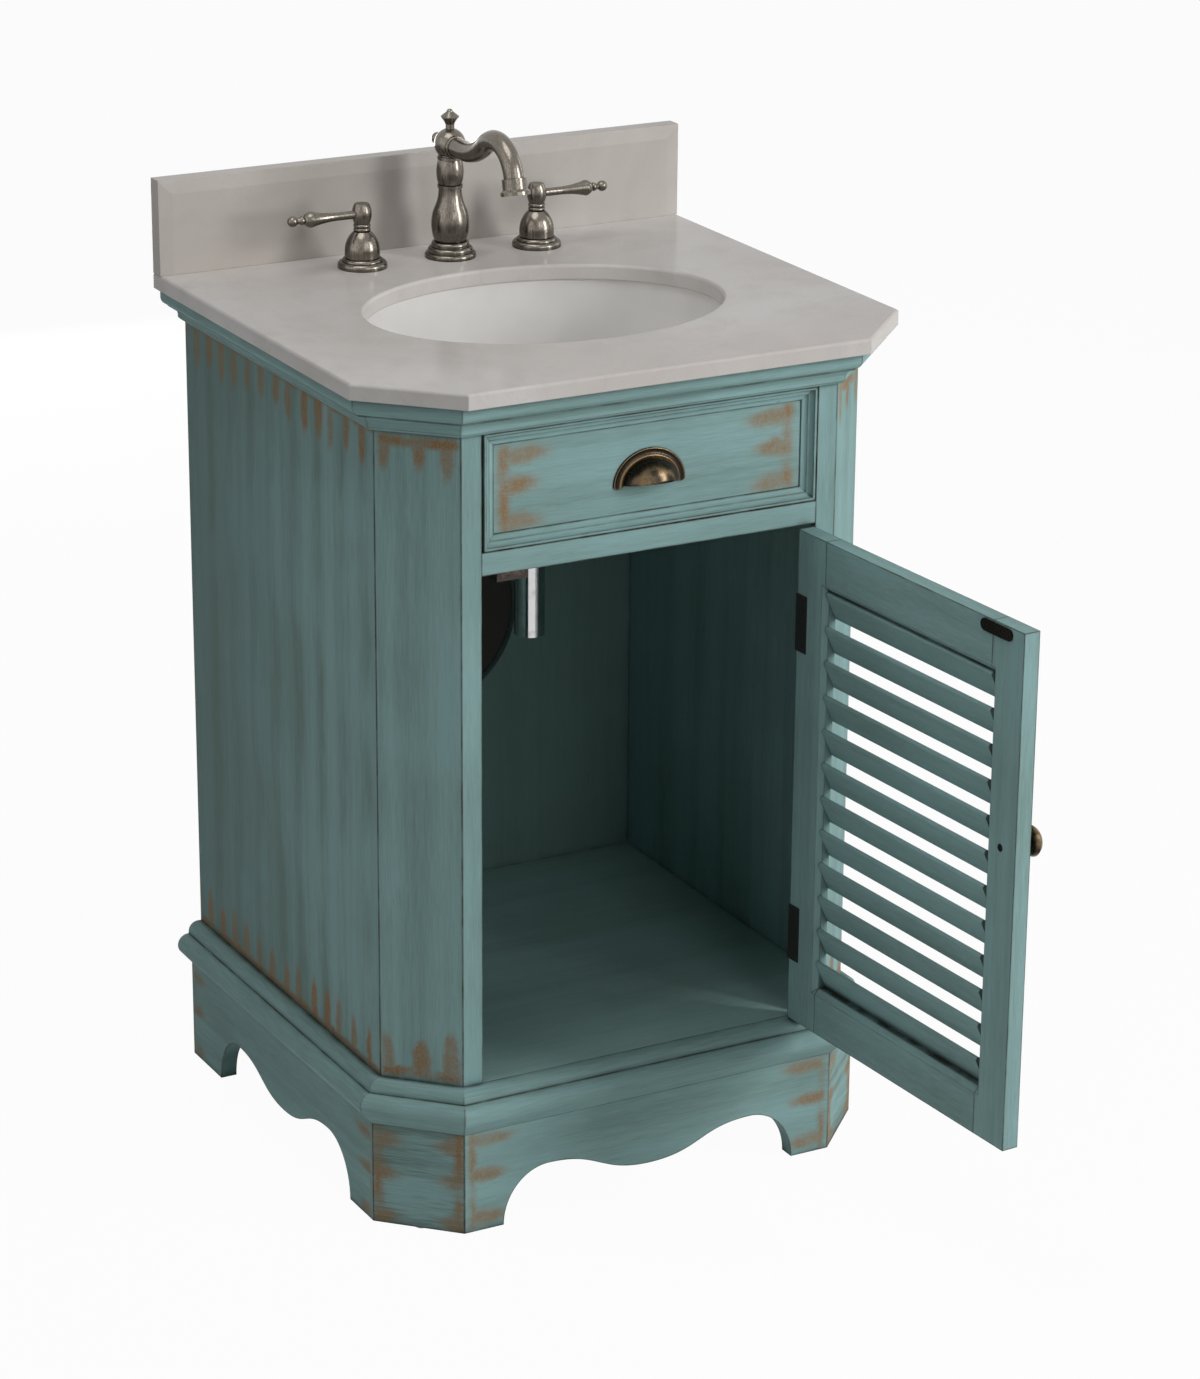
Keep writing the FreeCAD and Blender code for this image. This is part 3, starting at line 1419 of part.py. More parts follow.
# Hinges and catch on the cabinet
save("hinge_frame_leaves", *[hinge_frame_leaf(z) for z in hinge_heights])
save("hinge_pins", *[hinge_pin(z) for z in hinge_heights])
save("hinge_screws_frame", *stile_screws)
save("catch_housing", catch_housing())
save("catch_magnet", *catch_magnet())

# Door, turned to where it stands
leaf_screws = [screw for z in hinge_heights for screw in door_screws(z)]
door_leaves = [hinge_door_leaf(z) for z in hinge_heights]
save("door_stile_hinge", opened(door_stile(1).cut(Part.makeCompound(leaf_screws))))
save("door_stile_lock", opened(door_stile(-1).cut(knob_screw_hole())))
save("door_rail_top", opened(door_rail(louver_top, door_top)))
save("door_rail_bottom", opened(door_rail(door_bottom, louver_bottom)))
save("door_slats", *[opened(slat) for slat in door_slats()])
save("hinge_door_leaves", *[opened(leaf) for leaf in door_leaves])
save("hinge_screws_door", *[opened(screw) for screw in leaf_screws])
save("strike_plate", opened(strike_plate()))
save("door_knob", opened(door_knob()))
save("knob_screw", opened(knob_screw()))
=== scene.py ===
import bpy
import bmesh
import json
import math
from mathutils import Matrix, Vector


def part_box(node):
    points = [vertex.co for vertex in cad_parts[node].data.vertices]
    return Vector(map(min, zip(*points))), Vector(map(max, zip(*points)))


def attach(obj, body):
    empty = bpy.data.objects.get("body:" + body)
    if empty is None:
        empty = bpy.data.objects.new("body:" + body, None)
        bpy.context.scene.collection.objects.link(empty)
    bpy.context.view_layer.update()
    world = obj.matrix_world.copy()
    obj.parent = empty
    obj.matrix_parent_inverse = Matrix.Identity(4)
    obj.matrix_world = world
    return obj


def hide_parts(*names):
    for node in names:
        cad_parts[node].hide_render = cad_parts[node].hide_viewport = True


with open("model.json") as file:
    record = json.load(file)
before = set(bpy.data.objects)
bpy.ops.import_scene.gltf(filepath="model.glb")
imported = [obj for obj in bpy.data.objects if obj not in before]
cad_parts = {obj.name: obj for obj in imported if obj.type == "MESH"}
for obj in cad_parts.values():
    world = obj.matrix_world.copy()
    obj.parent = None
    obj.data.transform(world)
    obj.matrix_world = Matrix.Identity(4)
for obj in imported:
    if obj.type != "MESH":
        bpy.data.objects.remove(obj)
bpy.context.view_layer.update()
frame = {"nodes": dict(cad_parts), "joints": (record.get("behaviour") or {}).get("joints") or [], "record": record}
nodes = frame["nodes"]


# Side panels, corner posts, stiles and rails
# Boards of the carcass in brown wood under teal paint, brushed along the grain, with glaze and painted shade in
# the corners.
# The paint is rubbed back to the wood in combs of short strokes, below the cornice and above the base.
def wire(tree, kind, *feeds, **settings):
    """A shader node with its settings, its inputs fed in order by sockets or by plain values."""
    node = tree.nodes.new("ShaderNode" + kind)
    for name, value in settings.items():
        setattr(node, name, value)
    for socket, feed in zip(node.inputs, feeds):
        feed_socket(tree, socket, feed)
    return node


def feed_socket(tree, socket, feed):
    """Links a socket into an input, or sets the input's plain value."""
    if isinstance(feed, bpy.types.NodeSocket):
        tree.links.new(feed, socket)
    elif feed is not None:
        socket.default_value = feed


def calc(tree, operation, first, second=None):
    """The result of one sum on two values."""
    return wire(tree, "Math", first, second, operation=operation).outputs[0]


def fade(tree, value, start, end, low=0.0, high=1.0):
    """A value that runs smoothly from low to high between two limits."""
    return wire(tree, "MapRange", value, start, end, low, high, interpolation_type="SMOOTHSTEP").outputs[0]


def noise(tree, place, per_metre, detail=2.0):
    """Soft random cloud from 0 to 1, with so many lumps to the metre."""
    return wire(tree, "TexNoise", place, None, per_metre, detail).outputs["Fac"]


def stretched(tree, place, grain):
    """The place drawn out along a grain, so that a cloud on it turns into streaks."""
    return wire(tree, "VectorMath", place, grain, operation="MULTIPLY").outputs[0]


mask_socket = 0
under_socket = 6
over_socket = 7
blend_socket = 2


def layered(tree, mask, under, over):
    """One colour laid over another where a mask says."""
    node = wire(tree, "Mix", data_type="RGBA")
    feed_socket(tree, node.inputs[mask_socket], mask)
    feed_socket(tree, node.inputs[under_socket], under)
    feed_socket(tree, node.inputs[over_socket], over)
    return node.outputs[blend_socket]


pattern_low = 0.2
pattern_high = 0.8


def sheen(tree, pattern, smooth, rough):
    """A roughness that follows a pattern, from its smooth spots to its rough ones."""
    return fade(tree, pattern, pattern_low, pattern_high, smooth, rough)


def effect(name, inputs, outputs):
    """An empty node group with named inputs and outputs."""
    group = bpy.data.node_groups.new(name, "ShaderNodeTree")
    for side, sockets in (("INPUT", inputs), ("OUTPUT", outputs)):
        for label, kind in sockets.items():
            group.interface.new_socket(label, in_out=side, socket_type="NodeSocket" + kind)
    return group, group.nodes.new("NodeGroupInput").outputs, group.nodes.new("NodeGroupOutput").inputs


def laid(tree, group, **feeds):
    """A node group placed in a material, with its inputs fed by name."""
    node = tree.nodes.new("ShaderNodeGroup")
    node.node_tree = group
    for label, feed in feeds.items():
        feed_socket(tree, node.inputs[label.replace("_", " ")], feed)
    return node.outputs


brushed_paint, given, made = effect(
    "Brushed paint",
    {"Place": "Vector", "Grain": "Vector", "Paint": "Color", "Glaze": "Color", "Glaze Amount": "Float",
     "Stripes": "Float"},
    {"Color": "Color", "Roughness": "Float", "Height": "Float"})
hairs_per_metre = 1000.0
streaks_per_metre = 150.0
bands_per_metre = 30.0
clouds_per_metre = 7.0
nicks_per_metre = 1500.0
nick_dark = (0.02, 0.024, 0.02, 1)
stripe_pitch = 0.053
streak_height = 0.5
along_grain = stretched(brushed_paint, given["Place"], given["Grain"])
hairs = noise(brushed_paint, along_grain, hairs_per_metre, detail=3.0)
streaks = noise(brushed_paint, along_grain, streaks_per_metre, detail=3.0)
bands = noise(brushed_paint, along_grain, bands_per_metre)
clouds = noise(brushed_paint, given["Place"], clouds_per_metre)
glaze = fade(brushed_paint, bands, 0.34, 0.7, 0.0, 0.42)
for pattern, low, high in ((streaks, -0.08, 0.16), (clouds, -0.08, 0.26), (hairs, -0.16, 0.24)):
    glaze = calc(brushed_paint, "ADD", glaze, fade(brushed_paint, pattern, 0.3, 0.72, low, high))
stripe_turn = wire(brushed_paint, "VectorMath", given["Place"], (0, math.tau / stripe_pitch, 0),
                   operation="DOT_PRODUCT").outputs["Value"]
stripe_turn = calc(brushed_paint, "ADD", stripe_turn, fade(brushed_paint, clouds, 0.25, 0.75, -1.0, 1.0))
stripe = fade(brushed_paint, calc(brushed_paint, "COSINE", stripe_turn), -0.3, 1.0)
stripe = calc(brushed_paint, "MULTIPLY", stripe, fade(brushed_paint, clouds, 0.3, 0.6, 0.45, 1.0))
glaze = calc(brushed_paint, "ADD", glaze, calc(brushed_paint, "MULTIPLY", stripe, given["Stripes"]))
glaze = wire(brushed_paint, "Clamp", calc(brushed_paint, "MULTIPLY", glaze, given["Glaze Amount"])).outputs[0]
specks = noise(brushed_paint, along_grain, nicks_per_metre, detail=1.0)
nicks = fade(brushed_paint, specks, 0.76, 0.84, 0.0, 0.5)
film = layered(brushed_paint, glaze, given["Paint"], given["Glaze"])
brushed_paint.links.new(layered(brushed_paint, nicks, film, nick_dark), made["Color"])
brushed_paint.links.new(sheen(brushed_paint, hairs, smooth=0.5, rough=0.7), made["Roughness"])
raised_streaks = calc(brushed_paint, "MULTIPLY", streaks, streak_height)
brushed_paint.links.new(calc(brushed_paint, "ADD", hairs, raised_streaks), made["Height"])

rubbed_comb, given, made = effect(
    "Rubbed comb",
    {"Place": "Vector", "Along": "Vector", "Inward": "Vector", "Middle": "Float", "Edge": "Float",
     "Pitch": "Float", "Width": "Float", "Length": "Float", "Spine": "Float", "Span": "Float",
     "Face": "Vector", "Face At": "Float", "Soft": "Float"},
    {"Mask": "Float"})
slow_sway = 0.0016
fine_sway = 0.0008
end_softness = 2.5
face_depth = 0.004
mirrored = wire(rubbed_comb, "VectorMath", given["Place"], operation="ABSOLUTE").outputs[0]


def measured(direction, start):
    """Distance along a direction from a start."""
    reach = wire(rubbed_comb, "VectorMath", mirrored, direction, operation="DOT_PRODUCT").outputs["Value"]
    return calc(rubbed_comb, "SUBTRACT", reach, start)


def scaled(value, factor):
    """A value times a factor in the comb."""
    return calc(rubbed_comb, "MULTIPLY", value, factor)


def varied(per_metre, detail, start, end, low, high):
    """A value that wanders from low to high over the comb's surface."""
    return fade(rubbed_comb, noise(rubbed_comb, given["Place"], per_metre, detail), start, end, low, high)


def spread(roll, low, high):
    """A value from low to high, as a tooth's roll of the dice gives it."""
    return fade(rubbed_comb, roll, 0.0, 1.0, low, high)


soft_edge = given["Soft"]
inner_edge = scaled(soft_edge, -1.0)
soft_end = scaled(soft_edge, end_softness)
inner_end = scaled(soft_edge, -end_softness)
slow_wander = varied(per_metre=40.0, detail=2.0, start=0.25, end=0.75, low=-slow_sway, high=slow_sway)
fine_wander = varied(per_metre=260.0, detail=2.0, start=0.25, end=0.75, low=-fine_sway, high=fine_sway)
wander = calc(rubbed_comb, "ADD", slow_wander, fine_wander)
along = calc(rubbed_comb, "ADD", measured(given["Along"], given["Middle"]), wander)
inward = calc(rubbed_comb, "SUBTRACT", measured(given["Inward"], given["Edge"]), wander)
tooth_count = calc(rubbed_comb, "ROUND", calc(rubbed_comb, "DIVIDE", along, given["Pitch"]))
dice = wire(rubbed_comb, "TexWhiteNoise", None, tooth_count, noise_dimensions="1D").outputs
rolled = wire(rubbed_comb, "SeparateColor", dice["Color"]).outputs
tooth_middle = scaled(given["Pitch"], calc(rubbed_comb, "ADD", tooth_count, spread(rolled[0], -0.1, 0.1)))
off_tooth = calc(rubbed_comb, "ABSOLUTE", calc(rubbed_comb, "SUBTRACT", along, tooth_middle))
tooth_length = scaled(given["Length"], spread(rolled[1], 0.78, 1.12))
half_width = scaled(scaled(given["Width"], 0.5), spread(rolled[2], 0.8, 1.15))
run_out = fade(rubbed_comb, calc(rubbed_comb, "DIVIDE", inward, tooth_length), 0.5, 1.15, 1.0, 0.55)
past_side = calc(rubbed_comb, "SUBTRACT", off_tooth, scaled(half_width, run_out))
past_tip = calc(rubbed_comb, "SUBTRACT", inward, tooth_length)
tooth = fade(rubbed_comb, past_side, soft_edge, inner_edge)
tooth = scaled(tooth, fade(rubbed_comb, past_tip, soft_end, inner_end))
tooth = scaled(tooth, fade(rubbed_comb, inward, inner_edge, soft_edge))
tooth = scaled(tooth, spread(dice["Value"], 0.72, 1.0))
half_spine = scaled(given["Spine"], 0.5)
off_spine = calc(rubbed_comb, "ABSOLUTE", calc(rubbed_comb, "SUBTRACT", inward, half_spine))
spine = fade(rubbed_comb, calc(rubbed_comb, "SUBTRACT", off_spine, half_spine), soft_edge, inner_edge)
spine = scaled(spine, varied(per_metre=26.0, detail=1.0, start=0.32, end=0.6, low=0.35, high=1.0))
rub = calc(rubbed_comb, "MAXIMUM", tooth, spine)
past_end = calc(rubbed_comb, "SUBTRACT", calc(rubbed_comb, "ABSOLUTE", along), given["Span"])
rub = scaled(rub, fade(rubbed_comb, past_end, soft_edge, inner_edge))
rub = scaled(rub, varied(per_metre=420.0, detail=3.0, start=0.3, end=0.6, low=0.68, high=0.98))
rub = scaled(rub, varied(per_metre=55.0, detail=2.0, start=0.3, end=0.6, low=0.78, high=1.0))
off_face = measured(given["Face"], given["Face At"])
rub = scaled(rub, fade(rubbed_comb, off_face, -face_depth, -face_depth / 2))
rubbed_comb.links.new(rub, made["Mask"])

# Worn edges, and painted shade in corners and gaps between parts, darker the more enclosed a spot is.
worn_edges_and_corner_shade, given, made = effect(
    "Worn edges and corner shade", {"Place": "Vector", "Reach": "Float", "Round": "Float", "Grime": "Float"},
    {"CreviceShade": "Float", "Edge": "Float", "Normal": "Vector"})
openness = wire(worn_edges_and_corner_shade, "AmbientOcclusion", None, given["Reach"], samples=8).outputs["AO"]
patchy = noise(worn_edges_and_corner_shade, given["Place"], per_metre=32.0, detail=3.0)
crevice_shade = calc(worn_edges_and_corner_shade, "MULTIPLY", fade(worn_edges_and_corner_shade, openness, 0.86, 0.42),
               fade(worn_edges_and_corner_shade, patchy, 0.3, 0.6, 0.55, 1.0))
worn_edges_and_corner_shade.links.new(calc(worn_edges_and_corner_shade, "MULTIPLY", crevice_shade, given["Grime"]), made["CreviceShade"])
rounded = wire(worn_edges_and_corner_shade, "Bevel", given["Round"], samples=6).outputs["Normal"]
true_normal = worn_edges_and_corner_shade.nodes.new("ShaderNodeNewGeometry").outputs["Normal"]
turned = wire(worn_edges_and_corner_shade, "VectorMath", rounded, true_normal, operation="DOT_PRODUCT").outputs["Value"]
worn_edges_and_corner_shade.links.new(calc(worn_edges_and_corner_shade, "MULTIPLY", fade(worn_edges_and_corner_shade, turned, 0.995, 0.9),
                            fade(worn_edges_and_corner_shade, patchy, 0.35, 0.62, 0.5, 1.0)), made["Edge"])
worn_edges_and_corner_shade.links.new(rounded, made["Normal"])

teal = (0.272, 0.437, 0.437, 1)
shaded_wall_teal = (0.1, 0.17, 0.17, 1)
settled = (0.13, 0.185, 0.15, 1)
rubbed_wood = (0.29, 0.165, 0.07, 1)
edge_brown = (0.075, 0.055, 0.034, 1)
glaze_and_shade_brown = (0.03, 0.036, 0.032, 1)
grain_up = (1.0, 1.0, 0.035)
grain_across = (0.035, 1.0, 1.0)
grain_deep = (1.0, 0.035, 1.0)
grain_level = (0.035, 0.035, 1.0)
corner_reach = 0.016
corner_round = 0.0025
paint_height = 0.0004
inside_glaze_and_shade = 0.25
wall_shade_from = -0.4
wall_shade_to = 0.02
body_half = -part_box("side_panel_left")[0].x


def new_finish(name, **plain):
    """A material whose constant values are set on its shader, with its tree, shader and place."""
    material = bpy.data.materials.new(name)
    material.use_nodes = True
    tree = material.node_tree
    shader = tree.nodes["Principled BSDF"]
    for label, value in plain.items():
        shader.inputs[label.replace("_", " ")].default_value = value
    return material, tree, shader, tree.nodes.new("ShaderNodeTexCoord").outputs["Object"]


def dressed(tree, shader, colour, roughness):
    """Feeds a colour and a roughness to a shader."""
    tree.links.new(colour, shader.inputs["Base Color"])
    tree.links.new(roughness, shader.inputs["Roughness"])


def bumped(tree, shader, height, distance, strength=0.5, normal=None):
    """Raises the surface by a height that is a share of a distance in metres."""
    bump = wire(tree, "Bump")
    bump.inputs["Strength"].default_value = strength
    bump.inputs["Distance"].default_value = distance
    tree.links.new(height, bump.inputs["Height"])
    if normal is not None:
        tree.links.new(normal, bump.inputs["Normal"])
    tree.links.new(bump.outputs["Normal"], shader.inputs["Normal"])


def comb(start, along, inward, pitch, width, length, spine, span, soft=0.0036):
    """One comb of rubbed strokes. It starts at a point on an outer edge, with x and y taken as positive."""
    start = Vector(start)
    along = Vector(along).normalized()
    inward = Vector(inward).normalized()
    face = along.cross(inward)
    if face.x + face.y < 0:
        face = -face
    return {"Along": along, "Inward": inward, "Middle": start.dot(along), "Edge": start.dot(inward),
            "Pitch": pitch, "Width": width, "Length": length, "Spine": spine, "Span": span,
            "Face": face, "Face_At": start.dot(face), "Soft": soft}


def painted_wood(name, grain, glaze_amount, combs=(), paint=teal, stripes=0.0, painted_wall_shade=0.0, corner_glaze_and_shade=1.0):
    """Teal paint on wood with its glaze, rubbed combs, worn edges and painted shade in its corners.

    Stripes and the wall shade are for the outside of the side panels: upright bands of darker paint, and painted
    shade that darkens them towards the wall.
    """
    material, tree, shader, place = new_finish(name, Specular_IOR_Level=0.05)
    if stripes:
        spot = wire(tree, "SeparateXYZ", place).outputs
        off_middle = calc(tree, "ABSOLUTE", spot["X"])
        outside = fade(tree, off_middle, body_half - face_depth, body_half - face_depth / 2)
        # Painted shade: the outside of the side panels darkens towards the wall.
        shade_near_wall = fade(tree, spot["Y"], wall_shade_from, wall_shade_to, 0.0, painted_wall_shade)
        paint = layered(tree, calc(tree, "MULTIPLY", shade_near_wall, outside), paint, shaded_wall_teal)
        stripes = calc(tree, "MULTIPLY", outside, stripes)
        corner_glaze_and_shade = fade(tree, outside, 0.0, 1.0, inside_glaze_and_shade, corner_glaze_and_shade)
    film = laid(tree, brushed_paint, Place=place, Grain=grain, Paint=paint, Glaze=settled,
                Glaze_Amount=glaze_amount, Stripes=stripes)
    wear_and_shade = laid(tree, worn_edges_and_corner_shade, Place=place, Reach=corner_reach, Round=corner_round, Grime=corner_glaze_and_shade)
    colour = film["Color"]
    for strokes in combs:
        colour = layered(tree, laid(tree, rubbed_comb, Place=place, **strokes)["Mask"], colour, rubbed_wood)
    # Painted shade in the glaze's brown darkens corners and the gaps between parts.
    colour = layered(tree, wear_and_shade["CreviceShade"], colour, glaze_and_shade_brown)
    colour = layered(tree, wear_and_shade["Edge"], colour, edge_brown)
    dressed(tree, shader, colour, film["Roughness"])
    bumped(tree, shader, film["Height"], paint_height, normal=wear_and_shade["Normal"])
    return material


def finished(material, *names):
    """Gives CAD nodes their finish."""
    for name in names:
        for slot in nodes[name].material_slots:
            slot.material = material


corner_leg = 0.062


def corner_face(node):
    """Middle and half width of a corner piece's outer face at 45 degrees, with x and y taken as positive."""
    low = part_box(node)[0]
    leg = corner_leg + (-low.x - body_half) * (2 - math.sqrt(2))
    return (-low.x - leg / 2, -low.y - leg / 2), leg / math.sqrt(2)


upward = (0, 0, 1)
downward = (0, 0, -1)
to_front = (0, 1, 0)
to_back = (0, -1, 0)
to_middle = (-1, 0, 0)
corner_along = (-1, 1, 0)
cornice_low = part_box("cornice")[0].z
base_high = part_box("base_moulding")[1].z
post_middle = corner_face("corner_post_left")[0]
post_top_inset = 0.005
post_foot_inset = 0.004
side_length = -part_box("side_panel_left")[0].y
side_middle = (body_half, side_length / 2)
side_combs = [
    comb((*side_middle, cornice_low), to_front, downward,
         pitch=0.033, width=0.0145, length=0.043, spine=0.005, span=side_length / 2),
    comb((*side_middle, base_high), to_front, upward,
         pitch=0.033, width=0.014, length=0.044, spine=0.008, span=side_length / 2)]
post_combs = [
    comb((*post_middle, cornice_low - post_top_inset), corner_along, downward,
         pitch=0.033, width=0.0135, length=0.04, spine=0.0105, span=0.041),
    comb((*post_middle, base_high + post_foot_inset), corner_along, upward,
         pitch=0.035, width=0.018, length=0.05, spine=0.0105, span=0.042)]
finished(painted_wood("Painted side", grain_up, glaze_amount=0.6, combs=side_combs,
                      stripes=0.4, painted_wall_shade=0.6),
         "side_panel_left", "side_panel_right")
finished(painted_wood("Painted corner post", grain_up, glaze_amount=0.65, combs=post_combs),
         "corner_post_left", "corner_post_right")
finished(painted_wood("Painted stile", grain_up, glaze_amount=0.55),
         "front_stile_left", "front_stile_right")
finished(painted_wood("Painted rail", grain_across, glaze_amount=0.55),
         "front_top_rail", "front_mid_rail", "front_bottom_rail")


# Cabinet floor and back
# Painted boards of the inside, evener than the outside because no one rubs them.
# The floor lies on cleats; the back stands between the sides and has the round cut-out for the pipes.
# The back's teal is a darker copy of the paint, painted shade, and the floor's a lighter copy, painted light.
shaded_copy_back_teal = (0.25, 0.385, 0.37, 1)
lit_copy_floor_teal = (0.34, 0.52, 0.5, 1)
finished(painted_wood("Painted floor", grain_across, glaze_amount=0.35, paint=lit_copy_floor_teal, corner_glaze_and_shade=inside_glaze_and_shade),
         "cabinet_floor")
finished(painted_wood("Painted back", grain_up, glaze_amount=0.3, paint=shaded_copy_back_teal, corner_glaze_and_shade=inside_glaze_and_shade),
         "back_panel")


# Wall rail and cleats
# Bare softwood strips glued and screwed behind the boards, where the paint was not carried.
# Growth rings run along each strip as pale and brown lines.
spring_wood = (0.52, 0.36, 0.2, 1)
autumn_wood = (0.34, 0.2, 0.1, 1)
fibre_brown = (0.24, 0.14, 0.07, 1)
ring_grain = (0.08, 1.0, 1.0)
fibre_grain = (0.03, 1.0, 1.0)
fibre_height = 0.0003


def swirled(tree, place, per_metre, detail, harshness, swirl):
    """A cloud whose lumps are drawn into swirls."""
    cloud = wire(tree, "TexNoise", place, None, per_metre, detail, harshness)
    cloud.inputs["Distortion"].default_value = swirl
    return cloud.outputs["Fac"]


material, tree, shader, place = new_finish("Bare softwood", Specular_IOR_Level=0.25)
rings = swirled(tree, stretched(tree, place, ring_grain),
                per_metre=60.0, detail=3.0, harshness=0.6, swirl=1.2)
fibres = noise(tree, stretched(tree, place, fibre_grain), per_metre=1100.0)
colour = layered(tree, fade(tree, rings, 0.4, 0.62), spring_wood, autumn_wood)
colour = layered(tree, fade(tree, fibres, 0.45, 0.8, 0.0, 0.35), colour, fibre_brown)
dressed(tree, shader, colour, sheen(tree, fibres, smooth=0.6, rough=0.8))
bumped(tree, shader, fibres, fibre_height)
finished(material, "wall_rail", "inner_cleats")


# Cornice and base moulding
# Lengths of moulded wood, mitred at the corners and nailed round the top and foot of the carcass.
# Glaze brown and painted shade darken the coves, and the crests are rubbed.
finished(painted_wood("Painted moulding", grain_level, glaze_amount=0.6), "cornice", "base_moulding")


# Skirts, corner feet and glides
# Scalloped skirt boards between blocky corner feet, glued under the base moulding.
# Strokes of rubbed wood run in from the ends of each board; plastic glides are nailed under the feet.
skirt_low, skirt_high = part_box("skirt_front")
skirt_middle = (skirt_low.z + skirt_high.z) / 2
side_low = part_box("skirt_sides")[0]
foot_middle, foot_half = corner_face("corner_feet")
foot_middle = Vector((*foot_middle, skirt_middle))
foot_along = Vector(corner_along).normalized()
front_inset = 0.006
front_lift = 0.006
side_inset = 0.004
skirt_strokes = {"pitch": 0.043, "span": 0.058, "soft": 0.0055}
foot_strokes = {"width": 0.017, "length": 0.03, "spine": 0.011, **skirt_strokes}
front_combs = [
    comb((skirt_high.x - front_inset, -skirt_low.y, skirt_middle + front_lift), upward, to_middle,
         width=0.014, length=0.048, spine=0.006, **skirt_strokes)]
side_skirt_combs = [
    comb((-side_low.x, side_inset, skirt_middle), upward, to_front,
         width=0.012, length=0.03, spine=0.0, **skirt_strokes),
    comb((-side_low.x, -side_low.y - side_inset, skirt_middle), upward, to_back,
         width=0.012, length=0.032, spine=0.0, **skirt_strokes)]
foot_combs = [
    comb(foot_middle + foot_along * foot_half, upward, -foot_along, **foot_strokes),
    comb(foot_middle - foot_along * foot_half, upward, foot_along, **foot_strokes)]
finished(painted_wood("Painted front skirt", grain_across, glaze_amount=0.6, combs=front_combs),
         "skirt_front")
finished(painted_wood("Painted side skirts", grain_deep, glaze_amount=0.6, combs=side_skirt_combs),
         "skirt_sides")
# The feet's glaze is heavier than elsewhere; the extra darkening is painted shade.
finished(painted_wood("Painted corner feet", grain_level, glaze_amount=1.4, combs=foot_combs),
         "corner_feet")

glide_white = (0.78, 0.77, 0.74, 1)
glide_scuffed = (0.55, 0.53, 0.5, 1)
material, tree, shader, place = new_finish("White glide plastic", Specular_IOR_Level=0.4)
scuffs = noise(tree, place, per_metre=420.0, detail=3.0)
dressed(tree, shader, layered(tree, fade(tree, scuffs, 0.45, 0.75), glide_white, glide_scuffed),
        sheen(tree, scuffs, smooth=0.35, rough=0.6))
finished(material, "foot_glides")


# False drawer front
# A painted panel in a mitred moulded frame, screwed behind the front opening so that it can't be pulled out.
# Each end has a rubbed mark of one upright and three level strokes.
panel_low, panel_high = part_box("drawer_panel")
panel_middle = (panel_low.z + panel_high.z) / 2
frame_low, frame_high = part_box("drawer_frame")
moulding_width = 0.017
mark_inset = 0.004
left_mark = -frame_low.x - moulding_width - mark_inset
right_mark = frame_high.x - moulding_width - mark_inset
drawer_mark = comb(((left_mark + right_mark) / 2, -panel_low.y, panel_middle), upward, to_middle,
                   pitch=0.034, width=0.0185, length=0.052, spine=0.012, span=0.044, soft=0.0065)
grain_framed = (0.05, 1.0, 0.05)
finished(painted_wood("Painted drawer panel", grain_across, glaze_amount=0.6, combs=[drawer_mark]),
         "drawer_panel")
finished(painted_wood("Painted drawer frame", grain_framed, glaze_amount=0.45, corner_glaze_and_shade=0.45),
         "drawer_frame")


# Cup pull
# A cast half dome in antique bronze with a flat arched flange and a bead, open below for the fingers.
# Two screws from behind hold it; the crown of the dome is brass, worn back by hands and partly a painted
# highlight, and the bead has a painted brass highlight.
pull_low, pull_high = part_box("cup_pull")
flange_width = 0.009
pull_half = (pull_high.x - pull_low.x) / 2 - flange_width
pull_rise = pull_high.z - pull_low.z - flange_width
pull_depth = pull_high.y - pull_low.y
lip_lean = math.radians(80)
pull_reach = pull_depth / math.sin(lip_lean)
pull_centre = Vector(((pull_low.x + pull_high.x) / 2, pull_high.y, pull_low.z))
flange_profile = [(-0.0012, 0.0), (0.009, 0.0), (0.009, 0.0012), (0.0086, 0.0019), (0.0078, 0.0019),
                  (0.0073, 0.0013), (0.0062, 0.0011), (0.0042, 0.0012), (0.0028, 0.0016), (0.0022, 0.0027),
                  (0.0014, 0.0032), (0.0006, 0.0028), (-0.0012, 0.0022)]
lobe_drop = 0.003
lobe_turns = [math.radians(degrees) for degrees in (25, 50, 75)]
arch_steps = 48
dome_steps = 16
dome_shell = 0.94
same_spot = 1e-6
bead_low = 0.0015
bead_high = 0.0036
bead_rise = 0.0003
bead_fall = 0.0005
brass_from_rise = 0.01
brass_full_rise = 0.02
bronze = (0.034, 0.026, 0.018, 1)
bronze_pit = (0.015, 0.0115, 0.009, 1)
worn_and_highlight_brass = (0.17, 0.12, 0.065, 1)
pit_height = 0.0003
cloud_start = 0.35
cloud_full = 0.7


def skinned(mesh, rows):
    """Joins rows of points into a sheet of four-sided faces."""
    grid = [[mesh.verts.new(point) for point in row] for row in rows]
    for near, far in zip(grid, grid[1:]):
        for j in range(len(near) - 1):
            mesh.faces.new((near[j], near[j + 1], far[j + 1], far[j]))
    return grid


def swept(mesh, sections):
    """Joins sections into a bar that is closed round each section and at both ends."""
    grid = skinned(mesh, [section + section[:1] for section in sections])
    for end in (grid[0], grid[-1]):
        mesh.faces.new(end[:-1])


def built(name, mesh, material):
    """An object in the scene from a finished mesh."""
    data = bpy.data.meshes.new(name)
    mesh.to_mesh(data)
    mesh.free()
    data.materials.append(material)
    thing = bpy.data.objects.new(name, data)
    bpy.context.scene.collection.objects.link(thing)
    return thing


def new_piece(name, mesh, material, body):
    """A smooth-shaded piece from a finished mesh, riding on a body."""
    bmesh.ops.remove_doubles(mesh, verts=mesh.verts, dist=same_spot)
    bmesh.ops.recalc_face_normals(mesh, faces=mesh.faces)
    piece = built(name, mesh, material)
    piece.data.shade_smooth()
    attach(piece, body)
    return piece


def clouded(tree, cloud, under, over):
    """One colour that clouds over into another."""
    return layered(tree, fade(tree, cloud, cloud_start, cloud_full), under, over)


